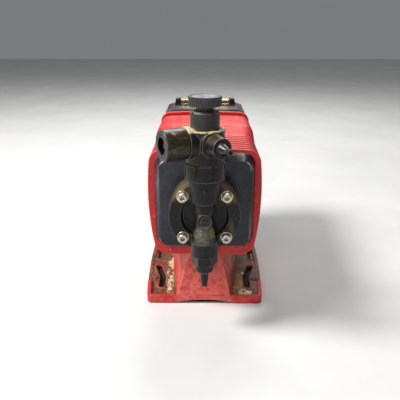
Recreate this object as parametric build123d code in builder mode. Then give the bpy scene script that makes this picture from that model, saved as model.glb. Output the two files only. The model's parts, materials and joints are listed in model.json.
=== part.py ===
"""Solenoid diaphragm metering pump: red housing on a pocketed base, black liquid end in front.

Frame: millimetres, +Z up, the liquid end looks along -Y, origin at the centre of the base's underside.
"""

import os
from math import atan2, cos, degrees, radians, sin, sqrt

from build123d import *

os.makedirs("parts", exist_ok=True)

# ---------------------------------------------------------------- driving dimensions
slip = 0.1  # radial slip between pieces that are screwed or pushed together
running = 0.05  # radial running clearance of a shaft or pin
free = 0.3  # gap that keeps separate moving bodies apart

# base
base_length = 174.0
base_end_width = 100.0
base_mid_width = 108.0
base_corner_r = 5.0
base_floor = 4.0
floor_thickness = 2.0
lip_height = 7.5
lip_wall = 3.0
side_lip_height = 5.0
side_lip_half = 60.0
side_lip_slope = 3.0
arch_half_width = 29.0
arch_rise = 3.6
slot_width = 6.0
slot_front_x = 38.9
slot_back_x = 44.9
slot_tip_y = 64.8
slot_bend_y = 48.4
slot_end_y = 27.6
side_slot_x = 47.2
side_slot_length = 25.0
slot_rim = 1.2
slot_rim_height = 0.8
pad_r = 4.5
pad_x = 47.5
pad_y = 49.0
pad_height = 5.6

# pedestal of the base
pedestal_height = 47.0
pedestal_toe_half = 24.3
pedestal_brow_half = 15.3
pedestal_brow_drop = 7.7
pedestal_nose_half = 12.3
pedestal_lean = 3.0
pedestal_shoulder_y = 32.0
pedestal_foot_half = 30.4
pedestal_top_half = 29.0
pedestal_wall = 3.5
pedestal_rib = 2.0
pedestal_rib_pitch = 22.0
pedestal_ribs = 8
base_screw_r = 2.0
base_screw_x = 20.0
base_screw_y = 22.0
base_screw_length = 12.0
base_screw_head_r = 3.5
base_screw_head = 2.6
base_boss_r = 4.5
base_boss_height = 7.0

# housing; each level is a height above the top of the pedestal
housing_front_y = -85.0
housing_back_y = 29.0
housing_wall = 3.0
housing_seat_half = 31.0
housing_bottom_half = 40.6
housing_bottom_rise = 3.0
housing_side_half = 45.8
housing_side_level = 57.0
housing_top_half = 43.2
housing_top_level = 90.2
housing_crown = 1.4
housing_corner_r = 11.0
shoulder_rise = 6.6
shoulder_corner_r = 9.0
shoulder_draft = 0.1
ramp_start_y = -36.0
ramp_end_y = -22.0
collar_length = 4.0
collar_rise = 3.2
rib_count = 7
rib_pitch = 7.0
rib_first = 2.6
rib_groove = 2.0
rib_depth = 0.9
rib_low_level = 13.0
rear_opening_inset = 6.0

# navy front cover
cover_depth = 10.5
cover_back_half = 39.9
cover_low_level = 8.6
cover_high_level = 88.6
cover_flare = 4.4
cover_corner_r = 10.0
cover_spigot = 3.0
cover_spigot_inset = 3.0

# liquid end
head_level = 48.0
bolt_pcd = 46.0
bracket_thickness = 8.0
bracket_r = 27.4
bracket_bore_r = 13.5
head_thickness = 15.1
head_r = 26.8
recess_r = 18.0
recess_floor_r = 16.6
recess_depth = 5.0
hub_r = 5.7
hub_out = 10.0
hub_ring_r = 4.6
hub_ring_depth = 0.8
plug_r = 3.2
plug_length = 4.0
plug_slot = 0.8
valve_offset = 2.4  # the valve axis lies this far in front of the head's face
diaphragm_r = 20.0
diaphragm_thickness = 2.4
chamber_r = 15.5
chamber_depth = 2.2
bolt_r = 2.0
bolt_head_r = 3.5
bolt_head_height = 4.0
bolt_socket = 3.0
bolt_socket_depth = 2.2
bolt_edge = 0.4
bolt_reach = 6.5
washer_r = 4.5
washer_thickness = 0.8

# valves
ball_r = 3.2
ball_lift = 1.5
seat_bore_r = 2.2
seat_height = 3.0
guide_r = 6.0
guide_lid = 1.3
guide_hole_r = 0.9
guide_hole_offset = 2.2
passage_r = 1.8
passage_offset = 13.0
upper_boss_r = 10.95
upper_boss_low_r = 10.2
upper_boss_low = 13.6
upper_boss_high = 25.4
upper_thread_r = 12.3
upper_boss_top = 38.0
neck_step = 1.0
thread_relief = 0.5
neck_r = 7.6
neck_low = 5.8
lower_boss_r = 10.2
lower_cone_r = 6.4
lower_cone_top = 4.6
lower_cone_low = 17.6
lower_boss_bottom = 29.0
suction_hex = 17.5
suction_hex_height = 7.5
suction_hex_edge = 1.4
suction_collar_height = 5.9
suction_collar_r = 6.9
suction_cone_height = 2.6
suction_cone_r = 3.9
spigot_r = 7.5
spigot_length = 7.0
tail_r = 3.0
tail_shank_r = 3.3
tail_root_r = 2.8
tail_tip_r = 2.2
tail_bore_r = 1.4
tail_straight = 6.5
tail_length = 11.6
tail_flange = 2.5
gasket_thickness = 1.0

# union nut and valve body on top
union_r = 14.75
union_height = 12.7
union_below = 7.0
union_lip = 3.0
union_slots = 8
union_slot_width = 1.6
union_slot_depth = 1.0
union_phase = -21.5
union_slot_stop = 2.8
union_edge = 0.8
body_r = 13.9
body_height = 23.3
body_neck_r = 10.5
riser_r = 2.4
port_turn = 27.0  # the ports are turned this far from square
port_height = 14.3
outlet_flange_r = 11.4
outlet_flange_end = 15.5
outlet_nut_r = 10.95
outlet_nut_length = 17.2
outlet_nut_edge = 0.7
outlet_mouth_r = 5.9
outlet_mouth_length = 7.7
outlet_thread_r = 8.1
outlet_thread_length = 8.5
outlet_tail_r = 2.2
outlet_tail_bore_r = 1.3
outlet_tail_length = 5.5
bleed_flange_r = 9.3
bleed_flange_end = 14.4
bleed_nut_r = 7.9
bleed_nut_front_r = 6.9
bleed_nut_length = 10.9
bleed_thread_r = 5.9
bleed_thread_length = 5.0
bleed_flange_thickness = 2.0
bleed_neck_r = 4.4
bleed_tip_r = 2.0
bleed_bore_r = 1.2
bleed_well = 5.0
bleed_lip = 2.0
bleed_recess_r = 5.4
bleed_cone_start = 4.0
bleed_cone_end = 10.6
bleed_length = 14.6

# vent screw
bonnet_r = 10.15
bonnet_height = 12.3
bonnet_chamfer = 1.0
bonnet_notch = 1.4
bonnet_spigot_r = 7.0
bonnet_spigot_length = 6.5
spindle_r = 3.0
bonnet_room_r = 5.8
bonnet_room = 1.2
bonnet_notches = 4
bonnet_notch_phase = 32.0
bonnet_notch_length = 2.5
ring_section_r = 0.8
knob_neck_r = 6.15
knob_neck_height = 3.0
knob_r = 11.5
knob_height = 6.5
knob_ribs = 44
knob_rib_depth = 0.55
knob_rib_width = 0.7
cap_r = 9.5
cap_thickness = 1.2
cap_sink = 1.4
knob_roof = 1.5

# solenoid drive
yoke_half = 30.0
yoke_length = 52.0
yoke_plate = 8.0
yoke_web = 5.0
coil_r = 24.0
coil_bore_r = 11.5
armature_r = 11.0
armature_length = 26.0
stroke = 1.0
shaft_r = 4.0
bush_r = 7.0
backing_r = 12.0
backing_thickness = 2.5
stub_r = 2.5
shaft_hold = 8.0
spring_wire_r = 0.8
spring_r = 6.4
spring_turns = 4
spring_length = 9.0

# control unit, with its levels above the top of the pedestal too
control_length = 48.0
control_low_half = 37.0
control_mid_half = 40.6
control_shoulder_half = 39.5
control_shoulder_level = 99.8
control_top_half = 32.0
control_top_level = 102.6
control_bulge_level = 53.0
control_wall = 3.0
control_corner_r = 5.0
control_back_wall = 5.0
gasket_inset = 1.0
panel_half = 29.5
panel_low_level = 32.0
panel_high_level = 96.0
panel_thickness = 2.5
panel_corner_r = 3.0
window_half = 17.0
window_low_level = 80.0
window_high_level = 91.0
window_thickness = 1.5
window_ledge = 1.5
key_r = 4.2
key_level = 71.0
key_pitch = 13.0
key_count = 4
key_out = 0.8
key_travel = 0.6
key_flange = 0.7
key_flange_thickness = 1.2
key_room = 5.6
key_edge = 0.5
switch_r = 3.0
lamp_r = 1.6
lamp_x = 24.5
lamp_level = 85.5
lamp_length = 5.0
lamp_out = 0.5
dial_r = 14.5
dial_height = 8.0
dial_ribs = 24
dial_rib_depth = 0.7
dial_rib_width = 1.6
dial_end = 2.0
dial_mark = 0.9
stroke_screw_r = 3.0
board_half = 27.0
board_low_level = 32.0
board_high_level = 92.0
board_thickness = 1.6
board_gap = 5.0
component_level = 45.0
component_pitch = 34.0
component_size = 14.0
component_height = 8.0
post_r = 3.0
post_edge = 4.0
socket_r = 8.0
socket_x = 19.0
socket_level = 18.0
socket_out = 7.5
socket_bore_r = 6.2
socket_neck_r = 5.0
socket_floor = 2.0
socket_pin_r = 0.5
socket_pin_offset = 2.8
socket_pin_out = 4.0
socket_cap_wall = 1.6
socket_cap_length = 8.0
gland_r = 7.0
gland_neck_r = 5.0
gland_thread_r = 5.6
gland_bore_r = 3.5
gland_seal_bore_r = 1.5
gland_mouth_r = 3.0
gland_body = 3.0
gland_thread_length = 5.0
gland_nut_length = 7.0
gland_edge = 1.0

# hinged clear cover over the panel
hinge_y = 58.0
hinge_rise = 3.7
hinge_barrel_r = 2.8
hinge_pin_r = 1.2
block_inner_x = 25.2
block_outer_x = 31.6
block_half_depth = 4.0
block_height = 6.4
block_slant = 1.2
rail_half_depth = 5.0
rail_height = 0.6
pin_half = 30.0
lid_half = 31.0
lid_wall = 1.8
lid_low_level = 63.0
lid_reach = 6.0
lid_gap = 1.2
closing_screw_r = 1.8
closing_screw_head_r = 3.4
closing_screw_head = 2.2
closing_screw_x = 33.5
closing_low_level = 10.0
closing_high_level = 90.0
closing_screw_hold = 9.0
closing_post_r = 5.0
closing_post_length = 14.0

# ---------------------------------------------------------------- places worked out from them
housing_side_z = pedestal_height + housing_side_level
rib_low_z = pedestal_height + rib_low_level
cover_low_z = pedestal_height + cover_low_level
cover_high_z = pedestal_height + cover_high_level
head_z = pedestal_height + head_level

cover_front_y = housing_front_y - cover_depth
bracket_front_y = cover_front_y - bracket_thickness
head_front_y = bracket_front_y - head_thickness
valve_y = head_front_y - valve_offset
bolt_offset = bolt_pcd / 2 * cos(radians(45))

boss_top_z = head_z + upper_boss_top
lower_boss_z = head_z - lower_boss_bottom
suction_hex_z = lower_boss_z - suction_hex_height
suction_collar_z = suction_hex_z - suction_collar_height
suction_cone_z = suction_collar_z - suction_cone_height
union_low_z = boss_top_z - union_below
union_top_z = union_low_z + union_height
body_low_z = union_top_z
body_top_z = body_low_z + body_height
port_z = body_low_z + port_height
bonnet_top_z = body_top_z + bonnet_height
knob_low_z = bonnet_top_z + free + knob_neck_height
knob_top_z = knob_low_z + knob_height

diaphragm_back_y = bracket_front_y
diaphragm_front_y = diaphragm_back_y - diaphragm_thickness
backing_back_y = diaphragm_back_y + backing_thickness

ball_rise = sqrt(ball_r**2 - seat_bore_r**2) + slip  # ball centre above its seat
guide_bore_r = ball_r + free
guide_height = ball_rise + ball_r + ball_lift + free + guide_lid
discharge_guide_z = boss_top_z - guide_height
discharge_seat_z = discharge_guide_z - seat_height
suction_spigot_z = lower_boss_z + spigot_length
suction_guide_z = suction_spigot_z - guide_height
suction_seat_z = suction_guide_z - seat_height
suction_gasket_z = suction_seat_z - gasket_thickness
tail_flange_z = suction_gasket_z - tail_flange
tail_tip_z = suction_cone_z - tail_length
tail_straight_z = suction_cone_z - tail_straight
recess_floor_y = head_front_y + recess_depth
hub_front_y = head_front_y - hub_out
bolt_seat_y = head_front_y - washer_thickness
bolt_end_y = cover_front_y + bolt_reach

outlet_thread_end = outlet_flange_end + outlet_thread_length
outlet_nut_end = outlet_flange_end + outlet_nut_length
outlet_mouth = outlet_nut_end - outlet_mouth_length
bleed_thread_end = bleed_flange_end + bleed_thread_length
bleed_nut_end = bleed_flange_end + bleed_nut_length
bleed_nozzle_start = bleed_thread_end + bleed_flange_thickness
body_socket_z = body_top_z - bonnet_spigot_length
ring_r = spindle_r + running + ring_section_r
ring_z = bonnet_top_z - ring_section_r
cap_low_z = knob_top_z - cap_sink
spindle_top_z = cap_low_z - knob_roof

yoke_front_y = housing_front_y + cover_spigot
yoke_back_y = yoke_front_y + yoke_length
coil_front_y = yoke_front_y + yoke_plate
coil_back_y = yoke_back_y - yoke_plate
armature_front_y = coil_front_y + stroke + free
armature_back_y = armature_front_y + armature_length
spring_back_y = coil_front_y + spring_length

control_shoulder_z = pedestal_height + control_shoulder_level
control_top_z = pedestal_height + control_top_level
control_bulge_z = pedestal_height + control_bulge_level
panel_low_z = pedestal_height + panel_low_level
panel_high_z = pedestal_height + panel_high_level
window_low_z = pedestal_height + window_low_level
window_high_z = pedestal_height + window_high_level
key_z = pedestal_height + key_level
lamp_z = pedestal_height + lamp_level
board_low_z = pedestal_height + board_low_level
board_high_z = pedestal_height + board_high_level
component_z = pedestal_height + component_level
socket_z = pedestal_height + socket_level
hinge_z = control_top_z + hinge_rise
lid_low_z = pedestal_height + lid_low_level
closing_low_z = pedestal_height + closing_low_level
closing_high_z = pedestal_height + closing_high_level

gasket_back_y = housing_back_y + gasket_thickness
control_back_y = gasket_back_y + control_length
control_inner_y = control_back_y - control_back_wall
panel_front_y = control_back_y - panel_thickness
board_back_y = control_inner_y - board_gap
board_front_y = board_back_y - board_thickness
dial_front_y = control_back_y + free
dial_back_y = dial_front_y + dial_height
lid_inner_y = control_back_y + lid_gap
lid_under_z = control_top_z + rail_height + free

valve_plane = Plane(origin=(0, valve_y, 0), x_dir=(1, 0, 0), z_dir=(0, -1, 0))
head_plane = Plane(origin=(0, 0, head_z), x_dir=(1, 0, 0), z_dir=(0, 0, -1))
outlet_dir = Vector(-cos(radians(port_turn)), -sin(radians(port_turn)), 0)
bleed_dir = Vector(sin(radians(port_turn)), -cos(radians(port_turn)), 0)


def port_plane(direction):
    """Sketch plane of a side port: x is up, y runs out along the port from the valve axis."""
    up = Vector(0, 0, 1)
    return Plane(origin=(0, valve_y, port_z), x_dir=up, z_dir=up.cross(direction))


outlet_plane = port_plane(outlet_dir)
bleed_plane = port_plane(bleed_dir)


# ---------------------------------------------------------------- shared operations
def lathe(plane, corners, mode=Mode.ADD):
    """Turned shape: corners are (radius, distance) pairs, spun about the plane's y axis."""
    with BuildSketch(plane) as profile:
        with BuildLine():
            Polyline(*corners, close=True)
        make_face()
    revolve(profile.sketch, axis=Axis(plane.origin, plane.y_dir), mode=mode)


def turned(plane, start, end, radius, bore=0.0, mode=Mode.ADD):
    """Plain turned step of one radius between two distances along the plane's y axis."""
    lathe(plane, [(bore, start), (radius, start), (radius, end), (bore, end)], mode)


def drill(plane, start, end, radius):
    """Round hole between two distances along the plane's y axis."""
    turned(plane, start, end, radius, mode=Mode.SUBTRACT)


def facing(y, z=0.0):
    """Sketch plane that faces forward at one depth: x right, y up, extrusions run forward."""
    return Plane(origin=(0, y, z), x_dir=(1, 0, 0), z_dir=(0, -1, 0))


def level(z):
    """Horizontal sketch plane on the valve axis."""
    return Plane(origin=(0, valve_y, z), x_dir=(1, 0, 0), z_dir=(0, 0, 1))


def bolt_holes(back_y, front_y):
    """Four holes on the head's bolt circle between two depths."""
    with BuildSketch(facing(back_y, head_z)) as pattern:
        with PolarLocations(bolt_pcd / 2, 4, start_angle=45):
            Circle(bolt_r + slip)
    extrude(pattern.sketch, amount=back_y - front_y, mode=Mode.SUBTRACT)


def closing_circles(y, radius):
    """Circles at the four closing screws, at one depth."""
    with BuildSketch(facing(y, (closing_low_z + closing_high_z) / 2)) as pattern:
        with GridLocations(2 * closing_screw_x, closing_high_z - closing_low_z, 2, 2):
            Circle(radius)
    return pattern.sketch


def base_circles(z, radius):
    """Circles at the four base screws, at one height."""
    with BuildSketch(Plane.XY.offset(z)) as pattern:
        with GridLocations(2 * base_screw_x, 2 * base_screw_y, 2, 2):
            Circle(radius)
    return pattern.sketch


def finish(builder, name):
    """Label a piece and write its STEP file."""
    builder.part.label = name
    export_step(builder.part, f"parts/{name}.step")


def base_outline(inset):
    """Plan of the base: square ends and gently bowed sides, drawn an even distance inside."""
    end_y = base_length / 2 - inset
    end_half = base_end_width / 2 - inset
    mid_half = base_mid_width / 2 - inset
    with BuildSketch() as plan:
        with BuildLine():
            front = Line((-end_half, -end_y), (end_half, -end_y))
            right = ThreePointArc(front @ 1, (mid_half, 0), (end_half, end_y))
            back = Line(right @ 1, (-end_half, end_y))
            ThreePointArc(back @ 1, (-mid_half, 0), front @ 0)
        make_face()
        fillet(vertices(), max(base_corner_r - inset, 1.0))
    return plan.sketch


def pedestal_outline(z, wall, lean, nose, shoulder):
    """Plan of the pedestal at one height: a narrow nose at each end that widens to the middle."""
    nose_y = base_length / 2 - lean - wall
    quarter = [(nose - wall, nose_y), (shoulder - wall, pedestal_shoulder_y)]
    right = quarter + [(x, -y) for x, y in reversed(quarter)]
    left = [(-x, -y) for x, y in right]
    with BuildSketch(Plane.XY.offset(z)) as plan:
        with BuildLine():
            Polyline(*right, *left, close=True)
        make_face()
    return plan.sketch


def pedestal_block(wall):
    """The three sections of the pedestal's loft, drawn a wall thickness inside and below the top."""
    brow_z = pedestal_height - pedestal_brow_drop - wall
    foot = pedestal_outline(0, wall, 0, pedestal_toe_half, pedestal_foot_half)
    brow = pedestal_outline(brow_z, wall, pedestal_lean, pedestal_brow_half, pedestal_top_half)
    top = pedestal_outline(pedestal_height - wall, wall, pedestal_lean, pedestal_nose_half, pedestal_top_half)
    return [foot, brow, top]


def pedestal_webs():
    """Plan of the ribs inside the pedestal: one along its middle and a row across it."""
    with BuildSketch() as plan:
        Rectangle(pedestal_rib, base_length)
        with GridLocations(pedestal_rib_pitch, pedestal_rib_pitch, 1, pedestal_ribs):
            Rectangle(base_mid_width, pedestal_rib)
    return plan.sketch


def slot_leg(start, end, width):
    """Round-ended slot between two centres, drawn in the sketch in hand."""
    leg = Vector(end) - Vector(start)
    with Locations((Vector(start) + Vector(end)) / 2):
        SlotCenterToCenter(leg.length, width, rotation=degrees(atan2(leg.Y, leg.X)))


def fixing_slots(z, rim):
    """The six fixing slots at one height, drawn a rim wider all round."""
    with BuildSketch(Plane.XY.offset(z)) as pattern:
        for side in (-1, 1):
            for end in (-1, 1):
                tip = (side * slot_front_x, end * slot_tip_y)
                bend = (side * slot_front_x, end * slot_bend_y)
                slot_leg(tip, bend, slot_width + 2 * rim)
                slot_leg(bend, (side * slot_back_x, end * slot_end_y), slot_width + 2 * rim)
            with Locations((side * side_slot_x, 0)):
                SlotOverall(side_slot_length + 2 * rim, slot_width + 2 * rim, rotation=90)
    return pattern.sketch


def housing_outline(y, inset, rise=0.0, corner_r=housing_corner_r):
    """Barrel-sided cross-section of the housing at one depth, drawn an even distance inside."""
    low_z = pedestal_height + inset
    corner_z = low_z + housing_bottom_rise
    top_z = pedestal_height + housing_top_level + rise - inset
    low = housing_bottom_half - inset
    side = housing_side_half - inset
    top = housing_top_half - rise * shoulder_draft - inset
    with BuildSketch(facing(y)) as section:
        with BuildLine():
            floor = Line((-housing_seat_half, low_z), (housing_seat_half, low_z))
            heel = Line(floor @ 1, (low, corner_z))
            right = ThreePointArc(heel @ 1, (side, housing_side_z), (top, top_z))
            crown = ThreePointArc(right @ 1, (0, top_z + housing_crown), (-top, top_z))
            left = ThreePointArc(crown @ 1, (-side, housing_side_z), (-low, corner_z))
            Line(left @ 1, floor @ 0)
        make_face()
        corners = vertices().sort_by(Axis.X)
        fillet(corners[:2] + corners[-2:], corner_r - inset)
    return section.sketch


def groove_outline(y):
    """Ring of one girth groove round the housing's sides and top, clear of the seat."""
    with BuildSketch(facing(y, rib_low_z)) as upper:
        Rectangle(2 * base_length, base_length, align=(Align.CENTER, Align.MIN))
    ring = housing_outline(y, 0) - housing_outline(y, rib_depth)
    return ring & upper.sketch


def control_outline(y, inset):
    """Cross-section of the control unit at one depth: bulged sides and a chamfered top."""
    low_z = pedestal_height + housing_bottom_rise + inset
    low = control_low_half - inset
    bulge = control_mid_half - inset
    shoulder = control_shoulder_half - inset
    top = control_top_half - inset / 2
    shoulder_z = control_shoulder_z - inset / 2
    top_z = control_top_z - inset
    with BuildSketch(facing(y)) as section:
        with BuildLine():
            floor = Line((-low, low_z), (low, low_z))
            right = ThreePointArc(floor @ 1, (bulge, control_bulge_z), (shoulder, shoulder_z))
            roof = Polyline(right @ 1, (top, top_z), (-top, top_z), (-shoulder, shoulder_z))
            ThreePointArc(roof @ 1, (-bulge, control_bulge_z), floor @ 0)
        make_face()
        fillet(vertices().group_by(Axis.Y)[0], control_corner_r)
    return section.sketch


def panel_outline(y, gap):
    """Rounded rectangle of the control panel at one depth, drawn a gap larger."""
    height = panel_high_z - panel_low_z
    with BuildSketch(facing(y, (panel_low_z + panel_high_z) / 2)) as section:
        RectangleRounded(2 * (panel_half + gap), height + 2 * gap, panel_corner_r)
    return section.sketch


def window_outline(y, inset):
    """Rectangle of the display window at one depth, drawn an even distance inside."""
    height = window_high_z - window_low_z
    with BuildSketch(facing(y, (window_low_z + window_high_z) / 2)) as section:
        Rectangle(2 * (window_half - inset), height - 2 * inset)
    return section.sketch


def key_circles(y, radius):
    """Circles at the four keys, at one depth."""
    with BuildSketch(facing(y, key_z)) as pattern:
        with GridLocations(key_pitch, key_pitch, key_count, 1):
            Circle(radius)
    return pattern.sketch


def lamp_circles(y, radius):
    """Circles at the two lamps, at one depth."""
    with BuildSketch(facing(y, lamp_z)) as pattern:
        with GridLocations(2 * lamp_x, 2 * lamp_x, 2, 1):
            Circle(radius)
    return pattern.sketch


def ribbed_round(plane, radius, depth, width, count):
    """Outline of a grip: a circle with small square ribs that reach the full radius."""
    with BuildSketch(plane) as section:
        Circle(radius - depth)
        with PolarLocations(radius - depth, count):
            Rectangle(2 * depth, width)
    return section.sketch


def ball_guide(low_z):
    """Cup that keeps a valve ball over its seat, under a lid with four holes."""
    lid_z = low_z + guide_height - guide_lid
    turned(valve_plane, low_z, lid_z, guide_r, guide_bore_r)
    turned(valve_plane, lid_z, low_z + guide_height, guide_r)
    with BuildSketch(level(lid_z)) as holes:
        with PolarLocations(guide_hole_offset, 4):
            Circle(guide_hole_r)
    extrude(holes.sketch, amount=guide_lid, mode=Mode.SUBTRACT)


def cover_outline(y, inset):
    """Rounded square of the front cover at one depth."""
    width = 2 * (cover_back_half - inset)
    height = cover_high_z - cover_low_z - 2 * inset
    with BuildSketch(facing(y, (cover_high_z + cover_low_z) / 2)) as section:
        RectangleRounded(width, height, cover_corner_r - inset)
    return section.sketch


# ---------------------------------------------------------------- base
with BuildPart() as base:
    with BuildSketch():
        add(base_outline(0))
        add(base_outline(lip_wall), mode=Mode.SUBTRACT)
    extrude(amount=lip_height)
    with BuildSketch(Plane.YZ):
        with BuildLine():
            Polyline(
                (-side_lip_half, lip_height),
                (side_lip_slope - side_lip_half, side_lip_height),
                (side_lip_half - side_lip_slope, side_lip_height),
                (side_lip_half, lip_height),
                close=True,
            )
        make_face()
    extrude(amount=base_mid_width, both=True, mode=Mode.SUBTRACT)
    with BuildSketch(Plane.XY.offset(base_floor)) as plate:
        add(base_outline(0))
    extrude(amount=-floor_thickness)
    with BuildSketch(Plane.XY.offset(base_floor)):
        with GridLocations(2 * pad_x, 2 * pad_y, 2, 2):
            Circle(pad_r)
        add(base_outline(0), mode=Mode.INTERSECT)
    extrude(amount=pad_height - base_floor)
    rims = fixing_slots(base_floor, slot_rim) & plate.sketch
    extrude(rims, amount=slot_rim_height)
    loft(pedestal_block(0), ruled=True)
    loft(pedestal_block(pedestal_wall), ruled=True, mode=Mode.SUBTRACT)
    core = loft(pedestal_block(pedestal_wall), ruled=True, mode=Mode.PRIVATE)
    add(core & extrude(pedestal_webs(), amount=pedestal_height, mode=Mode.PRIVATE))
    extrude(fixing_slots(0, 0), amount=lip_height, mode=Mode.SUBTRACT)
    for end in (-1, 1):
        with BuildSketch(facing(end * base_length / 2)):
            with BuildLine():
                arch = ThreePointArc((-arch_half_width, 0), (0, arch_rise), (arch_half_width, 0))
                Line(arch @ 1, arch @ 0)
            make_face()
        extrude(amount=2 * lip_wall, both=True, mode=Mode.SUBTRACT)
    with Locations((0, 0, pedestal_height)):
        with GridLocations(2 * base_screw_x, 2 * base_screw_y, 2, 2):
            Hole(base_screw_r + slip, depth=pedestal_wall)

finish(base, "base")

with BuildPart() as base_screws:
    seat_z = pedestal_height - pedestal_wall
    extrude(base_circles(seat_z, base_screw_r), amount=base_screw_length)
    extrude(base_circles(seat_z, base_screw_head_r), amount=-base_screw_head)

finish(base_screws, "base_screws")

# ---------------------------------------------------------------- housing
with BuildPart() as housing:
    extrude(housing_outline(ramp_start_y, 0), amount=ramp_start_y - housing_front_y)
    ramp_end = housing_outline(ramp_end_y, 0, shoulder_rise, shoulder_corner_r)
    loft([housing_outline(ramp_start_y, 0), ramp_end])
    shoulder = housing_outline(housing_back_y, 0, shoulder_rise, shoulder_corner_r)
    extrude(shoulder, amount=housing_back_y - ramp_end_y)
    collar = housing_outline(housing_back_y, 0, shoulder_rise + collar_rise, shoulder_corner_r)
    extrude(collar, amount=collar_length)
    inner_front_y = housing_front_y + housing_wall
    inner_back_y = housing_back_y - housing_wall
    low_room = housing_outline(ramp_start_y, housing_wall)
    high_room = housing_outline(ramp_end_y, housing_wall, shoulder_rise, shoulder_corner_r)
    back_room = housing_outline(inner_back_y, housing_wall, shoulder_rise, shoulder_corner_r)
    extrude(low_room, amount=ramp_start_y - inner_front_y, mode=Mode.SUBTRACT)
    loft([low_room, high_room], mode=Mode.SUBTRACT)
    extrude(back_room, amount=inner_back_y - ramp_end_y, mode=Mode.SUBTRACT)
    mouth = cover_outline(inner_front_y, cover_spigot_inset - slip)
    extrude(mouth, amount=housing_wall, mode=Mode.SUBTRACT)
    rear_opening = control_outline(housing_back_y, rear_opening_inset)
    extrude(rear_opening, amount=housing_wall, mode=Mode.SUBTRACT)
    for index in range(rib_count):
        groove_y = housing_front_y + rib_first + index * rib_pitch
        extrude(groove_outline(groove_y), amount=-rib_groove, mode=Mode.SUBTRACT)
    extrude(closing_circles(housing_back_y, closing_post_r), amount=closing_post_length)
    post_bores = closing_circles(housing_back_y, closing_screw_r + slip)
    extrude(post_bores, amount=closing_screw_hold, mode=Mode.SUBTRACT)
    extrude(base_circles(pedestal_height, base_boss_r), amount=housing_wall + base_boss_height)
    boss_bores = base_circles(pedestal_height, base_screw_r + slip)
    extrude(boss_bores, amount=base_screw_length - pedestal_wall + slip, mode=Mode.SUBTRACT)

finish(housing, "housing")

# ---------------------------------------------------------------- front cover and head bracket
with BuildPart() as front_cover:
    loft([cover_outline(housing_front_y, 0), cover_outline(cover_front_y, cover_flare)], ruled=True)
    extrude(cover_outline(yoke_front_y, cover_spigot_inset), amount=cover_spigot)
    drill(head_plane, -yoke_front_y, -cover_front_y, bush_r)
    bolt_holes(bolt_end_y + free, cover_front_y)

finish(front_cover, "front_cover")

with BuildPart() as head_bracket:
    turned(head_plane, -cover_front_y, -bracket_front_y, bracket_r, bracket_bore_r)
    bolt_holes(cover_front_y, bracket_front_y)

finish(head_bracket, "head_bracket")

# ---------------------------------------------------------------- pump head
with BuildPart() as pump_head:
    turned(head_plane, -bracket_front_y, -head_front_y, head_r)
    dish = [
        (0, -recess_floor_y),
        (recess_floor_r, -recess_floor_y),
        (recess_r, -head_front_y),
        (0, -head_front_y),
    ]
    lathe(head_plane, dish, Mode.SUBTRACT)
    column = [
        (0, lower_boss_z),
        (lower_boss_r, lower_boss_z),
        (lower_boss_r, head_z - lower_cone_low),
        (lower_cone_r, head_z - lower_cone_top),
        (lower_cone_r, head_z + neck_low),
        (neck_r, head_z + neck_low),
        (neck_r, head_z + upper_boss_low - neck_step),
        (upper_boss_low_r, head_z + upper_boss_low),
        (upper_boss_r, head_z + upper_boss_high),
        (upper_boss_r, union_low_z + thread_relief),
        (upper_thread_r, union_low_z + thread_relief),
        (upper_thread_r, boss_top_z),
        (0, boss_top_z),
    ]
    lathe(valve_plane, column)
    turned(head_plane, -recess_floor_y, -hub_front_y, hub_r)
    drill(head_plane, -hub_front_y - hub_ring_depth, -hub_front_y, hub_ring_r)
    drill(head_plane, -hub_front_y - plug_length, -hub_front_y, plug_r)
    drill(head_plane, -bracket_front_y, -diaphragm_front_y, diaphragm_r + slip)
    drill(head_plane, -diaphragm_front_y, -diaphragm_front_y + chamber_depth, chamber_r)
    drill(valve_plane, lower_boss_z, suction_spigot_z, spigot_r + slip)
    drill(valve_plane, discharge_seat_z, boss_top_z, guide_r + slip)
    drill(valve_plane, suction_spigot_z, head_z - passage_offset, passage_r)
    drill(valve_plane, head_z + passage_offset, discharge_seat_z, passage_r)
    with BuildSketch(facing(diaphragm_front_y, head_z)):
        with GridLocations(1, 2 * passage_offset, 1, 2):
            Circle(passage_r)
    extrude(amount=diaphragm_front_y - valve_y, mode=Mode.SUBTRACT)
    bolt_holes(bracket_front_y, head_front_y)

finish(pump_head, "pump_head")

with BuildPart() as head_plug:
    turned(head_plane, -hub_front_y - plug_length, -hub_front_y, plug_r)
    with BuildSketch(facing(hub_front_y + plug_slot, head_z)):
        Rectangle(2 * plug_r, plug_slot)
    extrude(amount=plug_slot, mode=Mode.SUBTRACT)

finish(head_plug, "head_plug")

with BuildPart() as head_bolts:
    with BuildSketch(facing(bolt_seat_y, head_z)):
        with PolarLocations(bolt_pcd / 2, 4, start_angle=45):
            Circle(bolt_head_r)
    extrude(amount=bolt_head_height)
    chamfer(edges().group_by(Axis.Y)[0], bolt_edge)
    with BuildSketch(facing(bolt_end_y, head_z)):
        with PolarLocations(bolt_pcd / 2, 4, start_angle=45):
            Circle(bolt_r)
    extrude(amount=bolt_end_y - bolt_seat_y)
    with BuildSketch(facing(bolt_seat_y - bolt_head_height + bolt_socket_depth, head_z)):
        with PolarLocations(bolt_pcd / 2, 4, start_angle=45):
            RegularPolygon(bolt_socket / 2, 6, major_radius=False)
    extrude(amount=bolt_socket_depth, mode=Mode.SUBTRACT)

finish(head_bolts, "head_bolts")

with BuildPart() as head_washers:
    with BuildSketch(facing(head_front_y, head_z)):
        with PolarLocations(bolt_pcd / 2, 4, start_angle=45):
            Circle(washer_r)
            Circle(bolt_r + slip, mode=Mode.SUBTRACT)
    extrude(amount=washer_thickness)

finish(head_washers, "head_washers")

# ---------------------------------------------------------------- diaphragm and its drive
with BuildPart() as diaphragm:
    turned(head_plane, -diaphragm_back_y, -diaphragm_front_y, diaphragm_r)

finish(diaphragm, "diaphragm")

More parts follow.
